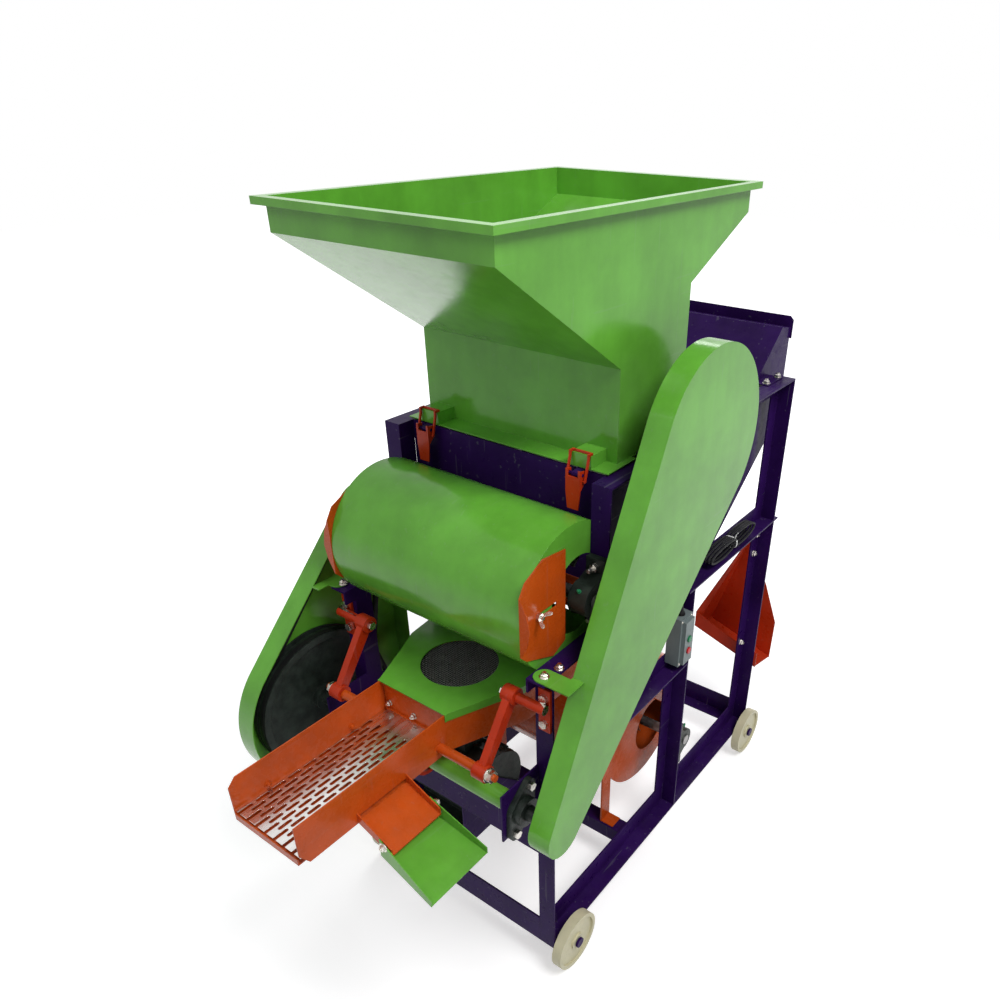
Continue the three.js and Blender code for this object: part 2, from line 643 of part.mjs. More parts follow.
// Half of a pulley's rim with V-grooves, hub and web, as [x, radius] points from the axis outwards
function pulleyProfile(radius, planes, hubEnds) {
  const half = belt.outerWidth / 2 + gap + pulley.sideRim;
  const foot = belt.innerWidth / 2 + gap;
  const mouth = belt.outerWidth / 2 + gap;
  const [x0, x1] = [planes[0] - half, planes[planes.length - 1] + half];
  const mid = (x0 + x1) / 2;
  const rimIn = radius - belt.depth - pulley.rim;
  const grooves = planes.flatMap((x) => [[x - mouth, radius], [x - foot, radius - belt.depth],
    [x + foot, radius - belt.depth], [x + mouth, radius]]);
  const open = rimIn > pulley.hubRadius + pulley.rim;
  const web = pulley.web / 2;
  const left = open ? [[mid - web, pulley.hubRadius], [mid - web, rimIn], [x0, rimIn]] : [[x0, 0]];
  const right = open ? [[x1, rimIn], [mid + web, rimIn], [mid + web, pulley.hubRadius]] : [[x1, 0]];
  const hubLeft = open ? [[hubEnds[0], 0], [hubEnds[0], pulley.hubRadius]] : [];
  const hubRight = open ? [[hubEnds[1], pulley.hubRadius], [hubEnds[1], 0]] : [];
  return [...hubLeft, ...left, [x0, radius], ...grooves, [x1, radius], ...right, ...hubRight];
}

function pulleyAt(radius, planes, y, z, sides = wheelSides) {
  const edge = belt.outerWidth / 2 + gap + pulley.sideRim;
  return revolveX(pulleyProfile(radius, planes, [planes[0] - edge, planes[planes.length - 1] + edge]), y, z, sides);
}

const shaftEnd = (plane) => plane + belt.outerWidth / 2 + gap + pulley.sideRim;

function drumBody() {
  const d = drum;
  const pieces = [
    barX(d.shaft, [-d.shaftLeft, shaftEnd(pulleyPlane.right)], d.y, d.z),
    pulleyAt(sheave.drum, [pulleyPlane.right], d.y, d.z),
  ];
  for (const x of [-d.halfLength + d.disc, 0, d.halfLength - d.disc]) {
    pieces.push(barX(d.discRadius, [x - d.disc / 2, x + d.disc / 2], d.y, d.z, 2 * d.bars));
  }
  for (let i = 0; i < d.bars; i++) {
    const middle = Math.sqrt(d.radius ** 2 - (d.barWidth / 2) ** 2) - d.barDepth / 2;
    const bar = new THREE.BoxGeometry(2 * d.halfLength, d.barWidth, d.barDepth).translate(0, 0, middle);
    pieces.push(turned(bar, (2 * Math.PI * i) / d.bars, d.y, d.z));
  }
  return join(pieces);
}

// A pillow block that stands on its base at the given place; the turn lays the base against a post
function pillowBlock(side, size, shaft, turn, y, z) {
  const x = (side * (base.halfWidth + inner)) / 2;
  const ends = [x - size.width / 2, x + size.width / 2];
  const half = size.baseLength / 2;
  const studTop = size.baseHeight + size.nutHeight + size.studProud;
  const bolts = [1, -1].flatMap((end) => [[size.nut, size.baseHeight + size.nutHeight], [size.stud, studTop]]
    .map(([radius, top]) => solid(new THREE.CylinderGeometry(radius, radius, top, coarseSides).rotateX(Math.PI / 2)
      .translate(x, (end * size.boltSpacing) / 2, top / 2))));
  const neck = [[-half * size.neckShare, size.baseHeight - weldBite], [half * size.neckShare, size.baseHeight - weldBite],
    [size.bodyRadius * Math.cos(Math.PI / midSides), size.height],
    [-size.bodyRadius * Math.cos(Math.PI / midSides), size.height]];
  const bore = barX(boreFor(shaft), [ends[0] - overrun, ends[1] + overrun], 0, size.height);
  return join(
    box(ends, [-half, half], [0, size.baseHeight]),
    prismX(neck, ...ends),
    barX(size.bodyRadius, ends, 0, size.height),
    bolts,
  ).subtract(bore).rotate([turn, 0, 0]).translate([0, y, z]);
}

function grateBody() {
  const g = grate;
  const reach = chamberInner - gap;
  const ring = barX(g.radius + g.depth, [-reach, reach], drum.y, drum.z, wheelSides);
  const core = barX(g.radius, [-reach - overrun, reach + overrun], drum.y, drum.z, wheelSides);
  const arc = ring.subtract(core);
  const top = hopper.bottom - overrun - gap;
  const under = box([-reach, reach], [drum.y - 2 * g.radius, drum.y + 2 * g.radius], [drum.z - 2 * g.radius, top]);
  const shell = arc.intersect(under);
  const pieces = [];
  for (let i = 0; i < g.ribs; i++) {
    const x = -reach + g.rib / 2 + (i * (2 * reach - g.rib)) / (g.ribs - 1);
    pieces.push(shell.intersect(box([x - g.rib / 2, x + g.rib / 2], [0, base.depth], [0, hopper.top])));
  }
  for (let i = 0; i < g.bars; i++) {
    const angle = Math.PI * (g.openShare * (2 * ((i + 0.5) / g.bars) - 1));
    const bar = new THREE.BoxGeometry(2 * reach, g.bar, g.bar).translate(0, 0, -g.radius - g.depth / 2);
    pieces.push(turned(bar, angle, drum.y, drum.z));
  }
  return join(pieces);
}

// Fan, its cover and the air shutters

function fanCover() {
  const b = barrel;
  const ends = [-b.halfLength, b.halfLength];
  const inside = [-b.halfLength + sheet, b.halfLength - sheet];
  const keep = box([-base.halfWidth, base.halfWidth], [b.y - 2 * b.radius, b.rearCut], [0, hopper.top]);
  const shell = barX(b.radius, ends, b.y, b.z, loopSegments)
    .subtract(barX(b.radius - sheet, inside, b.y, b.z, loopSegments))
    .subtract(barX(b.inlet, [-base.halfWidth, base.halfWidth], fan.y, fan.z, wheelSides));
  const studs = [1, -1].flatMap((side) => shutterStud(side));
  return join(shell.intersect(keep), studs);
}

// Stud and nut that hold a shutter through its slot
function shutterStud(side) {
  const s = shutter;
  const face = barrel.halfLength + sheet + 2 * gap;
  return [
    barX(s.stud, [side * (barrel.halfLength - sheet), side * (face + 2 * s.nut)], s.studY, s.studZ, coarseSides),
    hexHeadX(s.nutRadius, [side * face, side * (face + s.nut)], s.studY, s.studZ),
  ];
}

function fanRotor() {
  const f = fan;
  const right = base.halfWidth;
  const pieces = [
    barX(f.shaft, [-shaftEnd(pulleyPlane.leftOuter), right], f.y, f.z),
    pulleyAt(sheave.fan, [-pulleyPlane.leftOuter], f.y, f.z),
  ];
  for (const side of [1, -1]) {
    pieces.push(barX(f.discRadius, [side * f.discX, side * (f.discX + f.disc)], f.y, f.z));
  }
  pieces.push(...blades(f));
  return join(pieces);
}

function blades(wheelSizes) {
  const { bladeIn, bladeOut, bladeHalfLength, blade, y, z } = wheelSizes;
  return Array.from({ length: wheelSizes.blades }, (_, i) => {
    const geometry = new THREE.BoxGeometry(2 * bladeHalfLength, blade, bladeOut - bladeIn);
    geometry.translate(0, 0, (bladeIn + bladeOut) / 2);
    return turned(geometry, (2 * Math.PI * (i + 0.5)) / wheelSizes.blades, y, z);
  });
}

// A plate with a cut-away outline; its front edge is folded out as a grip
function shutterBody(side) {
  const s = shutter;
  const outline = [[s.lipFold, s.lipTop + (s.top - s.lipTop) / 2], [(s.front + s.rear) / 2, s.top],
    [s.rear, s.top - sheet * 4], [s.rear, s.bottom + sheet * 8], [(s.rear + s.lipFold) / 2 + sheet * 10, s.bottom],
    [s.lipFold, s.lipBottom - (s.lipBottom - s.bottom) / 3], [s.front, s.lipBottom], [s.front, s.lipTop]];
  const x0 = side * (barrel.halfLength + gap);
  const x1 = x0 + side * sheet;
  const half = s.slotHeight / 2;
  const slotHole = box([x0 - side * overrun, x1 + side * overrun], [s.slotFront, s.slotRear],
    [s.studZ - half, s.studZ + half]);
  const middle = (s.lipTop + s.lipBottom) / 2;
  const rise = (s.lipTop - s.lipBottom) / 2;
  const tip = s.lipOut;
  const grip = prismY([[x0, middle - rise], [x1, middle - rise], [x1 + side * tip * 0.7, middle - rise / 2],
    [x1 + side * tip, middle], [x1 + side * tip * 0.7, middle + rise / 2], [x1, middle + rise], [x0, middle + rise]],
  s.front, s.front + sheet);
  return join(prismX(outline, x0, x1).subtract(slotHole), grip);
}

function flangeBearing(side, { y, z, shaft }, seat) {
  const f = flange;
  const lean = (f.turn * Math.PI) / 180;
  const ends = [1, -1].map((end) => ({
    y: y - end * f.reach * Math.sin(lean),
    z: z + end * f.reach * Math.cos(lean),
    radius: f.endRadius,
  }));
  const outline = outset(loopRound([{ y, z, radius: f.centreRadius }, ...ends], midSides), 0);
  const face = side * (seat + f.plate);
  const body = join(
    prismX(outline, side * seat, face),
    barX(f.bossRadius, [side * seat, side * (seat + f.boss)], y, z),
    ends.map((end) => hexHeadX(f.boltHead, [face - side, face + side * f.head], end.y, end.z)),
  );
  return body.subtract(barX(boreFor(shaft), [side * (seat - overrun), side * (seat + f.boss + overrun)], y, z));
}

// Drive shaft, connecting rod and shaft covers

function driveShaft() {
  const d = drive;
  const half = d.eccentricWidth / 2;
  return join(
    barX(d.shaft, [-shaftEnd(pulleyPlane.leftOuter), shaftEnd(pulleyPlane.right)], d.y, d.z),
    barX(d.eccentric, [-half, half], d.y, d.z + d.throw, wheelSides),
    pulleyAt(sheave.driveRight, [pulleyPlane.right], d.y, d.z),
    pulleyAt(sheave.driveLeft, [-pulleyPlane.leftOuter, -pulleyPlane.leftInner], d.y, d.z),
  );
}

// The ring leaves room for the throw of the eccentric and for the swing of the sieve
const rodBore = drive.eccentric + 2 * drive.throw + 4 * gap;

function rodBody() {
  const half = rod.width / 2;
  const foot = sieve.deck - gap;
  const [dy, dz] = [rod.footY - drive.y, foot - rod.arm / 2 - drive.z];
  const length = Math.hypot(dy, dz);
  const [ny, nz] = [(-dz / length) * (rod.arm / 2), (dy / length) * (rod.arm / 2)];
  const start = rodBore / length;
  const [sy, sz] = [drive.y + dy * start, drive.z + dz * start];
  const arm = [[sy - ny, sz - nz], [drive.y + dy - ny, drive.z + dz - nz], [rod.footY + rod.arm, foot],
    [rod.footY - rod.arm, foot], [sy + ny, sz + nz]];
  return join(
    barX(rodBore + rod.ring, [-half, half], drive.y, drive.z, wheelSides)
      .subtract(barX(rodBore, [-rod.width, rod.width], drive.y, drive.z, wheelSides)),
    prismX(arm, -half, half),
    box([-rod.width, rod.width], [rod.footY - rod.arm, rod.footY + rod.arm], [foot - rod.ring, foot]),
  );
}

function shaftCover(side) {
  const d = drive;
  const ends = [side * (drive.eccentricWidth / 2 + d.coverInner), side * (inner - gap)];
  const outer = barX(d.coverRadius, ends, d.y, d.z);
  const bore = barX(d.coverRadius - d.coverWall, [ends[0] - side * overrun, ends[1] + side * overrun], d.y, d.z);
  return outer.subtract(bore);
}

// Belts, with the section of a V-belt

function beltRound(plane, circles) {
  const loop = loopRound(circles.map(({ y, z, radius }) => {
    const seat = (radius - belt.depth + gap) / Math.cos(Math.PI / loopSegments);
    return { y, z, radius: seat };
  }));
  const rise = belt.depth - gap;
  const section = [[0, -belt.innerWidth / 2], [0, belt.innerWidth / 2], [rise, belt.outerWidth / 2],
    [rise, -belt.outerWidth / 2]];
  const rings = loop.map(({ y, z, ny, nz }) =>
    section.map(([out, x]) => new THREE.Vector3(plane + x, y + out * ny, z + out * nz)));
  return swept([...rings, rings[0]]);
}

const at = {
  drum: (radius) => ({ y: drum.y, z: drum.z, radius }),
  drive: (radius) => ({ y: drive.y, z: drive.z, radius }),
  fan: (radius) => ({ y: fan.y, z: fan.z, radius }),
  motor: (radius) => ({ y: motor.y, z: motor.z, radius }),
  blower: (radius) => ({ y: blower.y, z: blower.z, radius }),
};

// Belt guards: a dish with its open side towards the frame, and straps to the frame

function guardDish(side, circles) {
  const loop = loopRound(circles);
  const { face, back, wall } = guard;
  return prismX(outset(loop, 0), side * back, side * face)
    .subtract(prismX(outset(loop, -wall), side * (back - overrun), side * (face - wall)));
}

function guardStrap(side, y, z, inEnd, outEnd = guard.back + guard.wall) {
  const half = guard.strapWidth / 2;
  const outline = new THREE.Shape();
  const round = side * (inEnd + half);
  outline.moveTo(side * outEnd, y - half);
  outline.lineTo(round, y - half);
  outline.absarc(round, y, half, -Math.PI / 2, Math.PI / 2, side > 0);
  outline.lineTo(side * outEnd, y + half);
  return prismZ(outline, z, z + guard.strap);
}

function guardRightBody() {
  const onShelf = shelf.top + gap;
  const onRail = topRail.top + gap;
  const top = { y: drum.y + guardRight.topRearward, z: drum.z - guardRight.topDrop, radius: guardRight.topRadius };
  const circles = [at.drive(guardRight.bottomRadius), top];
  const front = edgeAt(onShelf, ...circles);
  const rear = top.y + Math.sqrt(top.radius ** 2 - (onRail - top.z) ** 2) - guard.wall / 2;
  const strapOut = guard.back + guardRight.strapOut;
  const strapY = shelf.front + weldBite + guard.strapWidth / 2;
  return join(
    guardDish(1, circles),
    guardStrap(1, strapY, onShelf, inner + iron.wall, strapOut),
    box([guard.back, strapOut], [strapY, front + guard.wall / 2], [onShelf, onShelf + guard.strap]),
    guardStrap(1, rear - guard.strapWidth / 2, onRail, inner + iron.wall * 2),
  );
}

// The y at which the straight edge between two circles passes a height; the front edge, or the rear one
function edgeAt(z, low, high, rear = false) {
  const length = Math.hypot(high.y - low.y, high.z - low.z);
  const [dy, dz] = [(high.y - low.y) / length, (high.z - low.z) / length];
  const sine = (low.radius - high.radius) / length;
  const cosine = Math.sqrt(1 - sine ** 2) * (rear ? -1 : 1);
  const [ny, nz] = [sine * dy - cosine * dz, sine * dz + cosine * dy];
  return low.y + (low.radius - nz * (z - low.z)) / ny;
}

function guardLeftBody() {
  const onShelf = shelf.top + gap;
  const onRail = sideRail.bottom + iron.wall + gap;
  const [big, top, low] = [at.drive(guardLeft.bigRadius), at.fan(guardLeft.topRadius), at.motor(guardLeft.motorRadius)];
  const front = edgeAt(onShelf, big, top);
  const rear = edgeAt(onRail, low, top, true);
  const ends = [-guard.back - guard.wall, -guard.back + guard.strapWidth / 2];
  const beltGate = box([-guard.back + gap, -guard.face + guard.wall + gap], [motor.y, rear + guard.strapWidth],
    [motor.z - guardLeft.motorRadius, motor.z + guardLeft.motorRadius]);
  return join(
    guardDish(-1, [big, top, low]).subtract(beltGate),
    guardStrap(-1, shelf.front + guard.strapWidth / 2, onShelf, inner + iron.leg / 2),
    box(ends, [front + guard.wall / 2, shelf.front + guard.strapWidth / 2], [onShelf, onShelf + guard.strap]),
    box([-innerWall - gap, -guard.back - guard.wall], [rear - guard.strapWidth, rear - guard.wall / 2],
      [onRail, onRail + guard.strap]),
  );
}

// Motor: finned body, end shields, fan cowl, terminal box and feet

function motorBody() {
  const m = motor;
  const z = m.z;
  const outline = [];
  for (let i = 0; i < m.fins; i++) {
    const middle = (2 * Math.PI * i) / m.fins;
    const half = m.finWidth / 2 / (m.radius + m.fin);
    for (const [turn, radius] of [[-2 * half, m.radius], [-half, m.radius + m.fin], [half, m.radius + m.fin],
      [2 * half, m.radius]]) {
      outline.push([m.y + radius * Math.cos(middle + turn), z + radius * Math.sin(middle + turn)]);
    }
  }
  const foot = cradle.top + gap;
  const feet = [1, -1].map((end) => box([m.left + m.shield, m.right - m.shield],
    [m.y + end * m.footSpread - m.footWidth / 2, m.y + end * m.footSpread + m.footWidth / 2], [foot, foot + m.foot]));
  const pads = [1, -1].map((end) => box([m.left + m.shield, m.right - m.shield],
    [m.y + end * (m.footSpread - m.footWidth / 2), m.y + end * (m.footSpread - m.footWidth / 2 - m.foot)],
    [foot, foot + m.height - m.radius / 2]));
  const boxX = (m.left + m.right) / 2;
  const top = z + m.radius;
  const body = join(
    prismX(outline, m.left, m.right),
    barX(m.shieldRadius, [m.left - m.shield, m.left + weldBite], m.y, z),
    barX(m.cowlRadius, [m.right - weldBite, m.right + m.cowl], m.y, z),
    box([boxX - m.boxWidth / 2, boxX + m.boxWidth / 2], [m.y - m.boxDepth / 2, m.y + m.boxDepth / 2],
      [top - m.fin, top + m.boxHeight]),
    feet, pads,
  );
  return body.subtract(barX(boreFor(m.shaft), [m.left - m.shield - overrun, m.left + weldBite], m.y, z));
}

function motorPulley() {
  const m = motor;
  return join(
    barX(m.shaft, [-shaftEnd(pulleyPlane.leftOuter), m.left], m.y, motor.z),
    pulleyAt(sheave.motor, [-pulleyPlane.leftOuter, -pulleyPlane.leftInner], m.y, motor.z),
  );
}

// Lower blower: a scroll with an inlet each side and its outlet up to the sieve

function blowerCasing() {
  const b = blower;
  const front = b.scrollY - b.scrollRadius;
  const rear = front + b.outletDepth;
  const ends = [-b.halfWidth, b.halfWidth];
  const inEnds = [-b.halfWidth + sheet, b.halfWidth - sheet];
  const outer = join(
    barX(b.scrollRadius, ends, b.scrollY, b.scrollZ, loopSegments),
    box(ends, [front, rear], [b.scrollZ, b.outletTop]),
  );
  const cavity = join(
    barX(b.scrollRadius - sheet, inEnds, b.scrollY, b.scrollZ, loopSegments),
    box(inEnds, [front + sheet, rear - sheet], [b.scrollZ, b.outletTop + overrun]),
  );
  const inlets = barX(b.inlet, [-base.halfWidth, base.halfWidth], b.y, b.z, wheelSides);
  return join(outer.subtract(cavity).subtract(inlets), [1, -1].flatMap(blowerSupports));
}

// A leg on the mid cross rail and an arm to the mid post, each side
function blowerSupports(side) {
  const b = blower;
  const foot = base.bottom + midRail.height + gap;
  const legRear = midRail.face + iron.leg;
  const wall = side * (b.halfWidth - sheet);
  const postFace = side * (inner - gap);
  const armY = [midPost.rearFace - iron.leg, midPost.rearFace - iron.wall];
  return [
    box([wall, side * (b.halfWidth + sheet)], [legRear - b.legDepth, legRear], [foot, b.legTop]),
    box([wall, side * (b.halfWidth + b.legDepth)], [legRear - b.legDepth, legRear], [foot, foot + sheet]),
    box([wall, postFace], armY, [b.armBottom, b.armBottom + sheet]),
    box([postFace - side * sheet, postFace], armY, [b.armBottom, b.armTop]),
  ];
}

function blowerRotor() {
  const b = blower;
  const pieces = [
    barX(b.shaft, [-shaftEnd(pulleyPlane.leftOuter), base.halfWidth], b.y, b.z),
    pulleyAt(sheave.blower, [-pulleyPlane.leftOuter], b.y, b.z),
    ...blades(b),
  ];
  for (const side of [1, -1]) {
    pieces.push(barX(b.discRadius, [side * b.discX, side * (b.discX + b.disc)], b.y, b.z));
  }
  return join(pieces);
}

// Sieve

// Half of the sieve's plan: a narrow tray in front that flares into a wide box
function sieveOutline(trayHalf, boxHalf, front, rear) {
  const right = flareShares.map(([along, out]) => [trayHalf + out * (boxHalf - trayHalf),
    sieve.flareStart + along * flareLength]);
  const half = [...right, [boxHalf, rear]];
  const start = front < sieve.flareStart ? [[trayHalf, front]] : [];
  const all = [...start, ...half];
  return [...all, ...[...all].reverse().map(([x, y]) => [-x, y])];
}

function sieveBox() {
  const s = sieve;
  const outline = sieveOutline(s.trayHalf, s.boxHalf, s.front, s.rear);
  const inside = inset(outline, s.wall);
  const walls = prismZ(outline, s.bottom, s.top).subtract(prismZ(inside, s.bottom - overrun, s.top + overrun));
  const innerHalf = s.trayHalf - s.wall;
  const deck = prismZ(sieveOutline(s.trayHalf - weldBite, s.boxHalf - weldBite, s.flareStart, s.deckRear),
    s.deck, s.deck + s.wall);
  const floor = box([-innerHalf - weldBite / 2, innerHalf + weldBite / 2], [s.front, s.flareStart],
    [s.bottom, s.bottom + s.wall]);
  const bulkhead = box([-s.trayHalf, s.trayHalf], [s.bulkhead - s.wall, s.bulkhead], [s.deck, s.top]);
  const mouth = box([-innerHalf, innerHalf], [s.front - overrun, s.front + s.wall + overrun],
    [s.bottom + s.lip, s.top + overrun]);
  const notch = prismX([[s.front - overrun, s.bottom - overrun], [s.front + s.notch, s.bottom - overrun],
    [s.front + s.notch, s.bottom], [s.front, s.bottom + s.notchHeight], [s.front - overrun, s.bottom + s.notchHeight]],
  innerHalf - overrun, s.trayHalf + overrun);
  const corner = prismX([[s.front - overrun, s.top - s.corner], [s.front, s.top - s.corner],
    [s.front + s.corner, s.top], [s.front + s.corner, s.top + overrun], [s.front - overrun, s.top + overrun]],
  -s.trayHalf - overrun, -innerHalf + overrun);
  const outletTop = s.bottom + s.wall + sideChute.opening;
  const outlet = box([innerHalf - overrun, s.trayHalf + overrun], [sideChute.front + s.wall, sideChute.rear - s.wall],
    [s.bottom + s.wall, outletTop]);
  const shell = join(walls, floor, deck, bulkhead).subtract(join(mouth, notch, corner, outlet));
  return join(shell, sideChuteBody(), [1, -1].flatMap(sievePins));
}

// The chute that takes the small kernels out of the right wall of the tray
function sideChuteBody() {
  const c = sideChute;
  const x0 = sieve.trayHalf - weldBite / 2;
  const t = sieve.wall;
  const floor = [[x0, c.inZ - t - t], [c.out, c.outZ - t], [c.out, c.outZ], [x0, c.inZ - t]];
  const side = [[x0, c.inZ - t - t], [c.out, c.outZ - t], [c.out, c.outZ + c.wallOut], [x0, c.inZ + c.wallIn]];
  return join(
    prismY(floor, c.front, c.rear),
    prismY(side, c.front, c.front + t),
    prismY(side, c.rear - t, c.rear),
    [c.front, c.rear].map((y) => barY(kernelChute.pin,
      kernelChute.pivotX, y === c.front ? [y - 3 * t, y + t] : [y - t, y + 3 * t], kernelChute.pivotZ, coarseSides)),
  );
}

// Pins that stand out of the sieve's walls into the lower eyes of the links
function sievePins(side) {
  return [0, link.rearStep].map((step) => {
    const y = link.lowerY + step;
    const wall = (step ? sieve.boxHalf : sieve.trayHalf) - sieve.wall / 2;
    const eyeIn = link.inner - gap;
    const eyeOut = link.inner + link.width + gap;
    const nutIn = eyeOut + link.washerThick;
    const nutOut = nutIn + link.nutThick;
    return join(
      barX(link.collar, [side * wall, side * eyeIn], y, link.lowerZ, smallSides),
      barX(link.pin, [side * wall, side * (nutOut + link.pinProud)], y, link.lowerZ, smallSides),
      barX(link.washer, [side * eyeOut, side * nutIn], y, link.lowerZ),
      hexHeadX(link.nut, [side * nutIn, side * nutOut], y, link.lowerZ),
    );
  });
}

// Screen with rows of long slots, each row set off from the next by half a pitch
function sieveScreen() {
  const s = sieve;
  const half = s.trayHalf - s.wall - gap;
  const front = s.front + s.wall + gap;
  const rear = s.bulkhead - s.wall - gap;
  const pitchX = (2 * (half - slot.margin)) / slot.rows;
  const depth = [s.screen - overrun, s.screen + overrun];
  const slots = [];
  for (let row = 0; row < slot.rows; row++) {
    const x = -half + slot.margin + (row + 0.5) * pitchX;
    const shift = row % 2 ? slot.pitchY / 2 : 0;
    for (let i = 0; i < slot.count; i++) {
      const y = front + slot.margin + shift + i * slot.pitchY;
      const fits = y + slot.length < rear - slot.rearBlank;
      if (fits) slots.push(box([x - slot.width / 2, x + slot.width / 2], [y, y + slot.length], depth));
    }
  }
  return box([-half, half], [front, rear], [s.screen, s.screen + s.screenThick]).subtract(join(slots));
}

// Cover plate over the wide box, with folded skirts and a round window
function sieveCover() {
  const c = cover;
  const s = sieve;
  const low = s.top + gap;
  const spread = s.wall + gap;
  const trim = (outline) => outline.map(([x, y]) => [x, Math.max(y, c.front)]);
  const outer = trim(sieveOutline(s.trayHalf + c.thick + gap, s.boxHalf + c.thick + gap, c.front, c.rear));
  const inside = trim(sieveOutline(s.trayHalf + gap, s.boxHalf + gap, c.front - overrun, c.rear + overrun));
  const skirts = prismZ(outer, s.top - c.skirt, low + c.thick)
    .subtract(prismZ(inside.map(([x, y]) => [x, y <= c.front ? y - overrun : y]), s.top - c.skirt - overrun, low));
  const window = new THREE.Shape().absarc(0, c.windowY, c.windowRadius, 0, 2 * Math.PI);
  const hole = solid(new THREE.ExtrudeGeometry(window, { depth: spread * overrun, bevelEnabled: false,
    curveSegments: midSides }).translate(0, 0, low - overrun));
  return skirts.subtract(hole);
}

function rockerLink(side, step) {
  const upper = { y: link.upperY + step, z: link.upperZ };
  const lower = { y: link.lowerY + step, z: link.lowerZ };
  const [x0, x1] = [side * link.inner, side * (link.inner + link.width)];
  const mid = (x0 + x1) / 2;
  const taper = loopRound([{ ...upper, radius: link.armUpper }, { ...lower, radius: link.armLower }], smallSides);
  const arm = prismX(outset(taper, 0), mid - link.arm / 2, mid + link.arm / 2);
  const eyes = [upper, lower].map(({ y, z }) => barX(link.eye, [x0, x1], y, z));
  const bores = [upper, lower].map(({ y, z }) => barX(boreFor(link.pin, smallSides),
    [x0 - side * overrun, x1 + side * overrun], y, z, smallSides));
  return join(arm, eyes).subtract(join(bores));
}

// Plate bolted to the front post, with the pin that a front link swings on
function rockerBracket(side) {
  const b = bracket;
  const y = [-b.plate - gap, -gap];
  const middle = (b.inner + b.outer) / 2;
  const bolts = [b.bottom + b.boltInset, b.top - b.boltInset].map((z) =>
    barY(flange.boltHead, side * middle, [y[0] - flange.head, y[0] + weldBite], z, 6));
  return join(
    box([side * b.inner, side * b.outer], y, [b.bottom, b.top]),
    barX(link.collar, [side * (b.outer - weldBite), side * (link.inner + link.width + gap)], link.upperY, link.upperZ,
      smallSides),
    hangerPin(side, link.upperY, link.upperZ),
    bolts,
  );
}

// Green tray that swings on two bolts at the end of the side chute
function kernelChuteBody() {
  const k = kernelChute;
  const t = sheet;
  const front = sideChute.front - gap;
  const rear = sideChute.rear + gap;
  const floor = panel([[k.nearX, front - t, k.nearZ], [k.farX, front - k.flare, k.farZ],
    [k.farX, rear + k.flare, k.farZ], [k.nearX, rear + t, k.nearZ]], t);
  const wall = (nearY, farY, out) => panel([[k.pivotX - k.ear, nearY, k.nearZ - t], [k.farX, farY, k.farZ - t],
    [k.farX, farY, k.farZ + k.wallFar], [k.pivotX - k.ear, nearY, k.pivotZ + k.ear]], out * t);
  const bores = barY(boreFor(k.pin, coarseSides), k.pivotX, [front - k.flare, rear + k.flare], k.pivotZ, coarseSides);
  return join(floor, wall(front, front - k.flare, -1), wall(rear, rear + k.flare, 1)).subtract(bores);
}

// Chamber round the grate, with the front panel that carries the latches

const chamberOuter = inner - gap;
const chamberInner = chamberOuter - chamber.wall;

function chamberHousing() {
  const c = chamber;
  const top = topRail.top - iron.wall;
  const sides = [1, -1].map((side) => box([side * chamberInner, side * chamberOuter], [c.front, c.rear],
    [c.bottom, top]));
  const across = [-chamberOuter, chamberOuter];
  const lugs = [1, -1].map(latchLug);
  return join(sides, box(across, [c.front, c.front + c.wall], [c.panelBottom, topRail.top]),
    box(across, [c.rear - c.wall, c.rear], [c.rearBottom, top]), lugs);
}

// The ear on the panel that the latch lever swings on, with its pin
function latchLug(side) {
  const l = latch;
  const x = side * catchBlock.x;
  const outline = [[chamber.front + weldBite / 2, l.pivotZ - l.ear], [chamber.front + weldBite / 2, l.pivotZ + l.ear / 3],
    [l.pivotY - l.pin, l.pivotZ + l.pin + gap], [l.pivotY - l.pin - gap, l.pivotZ - l.pin],
    [l.pivotY, l.pivotZ - l.ear / 2]];
  const half = l.cheek / 2;
  const reach = l.leverWidth / 2 + gap;
  return join(prismX(outline, x - half, x + half),
    barX(l.pin, [x - reach, x + reach], l.pivotY, l.pivotZ, coarseSides));
}

const bailPivot = { y: latch.pivotY, z: latch.pivotZ - latch.throw };

function latchLever(side) {
  const l = latch;
  const x = side * catchBlock.x;
  const half = l.leverWidth / 2;
  const tip = l.leverTip / 2;
  const front = l.pivotY - l.standOff;
  const web = prismY([[x - half, l.leverTop], [x - half, l.pivotZ - l.ear * 2], [x - tip, l.leverBottom],
    [x + tip, l.leverBottom], [x + half, l.pivotZ - l.ear * 2], [x + half, l.leverTop]], front, front + l.leverSheet);
  const cheekOutline = [[front, l.leverTop], [front, l.pivotZ - l.ear * 2],
    [l.pivotY + l.pin * 2, l.pivotZ - l.ear], [l.pivotY + l.pin * 2, l.leverTop - l.pin]];
  const cheeks = [1, -1].map((end) => prismX(cheekOutline, x + end * half, x + end * (half - l.leverSheet)));
  const window = box([x - half + 2 * l.leverSheet, x + half - 2 * l.leverSheet],
    [front - overrun, front + l.leverSheet + gap], [l.pivotZ - l.pin, l.leverTop + overrun]);
  const pinHole = barX(boreFor(l.pin, coarseSides), [x - half - overrun, x + half + overrun], l.pivotY, l.pivotZ,
    coarseSides);
  const bailHole = barX(boreFor(l.wire, coarseSides), [x - half - overrun, x + half + overrun], bailPivot.y,
    bailPivot.z, coarseSides);
  return join(web, cheeks).subtract(window).subtract(pinHole).subtract(bailHole);
}

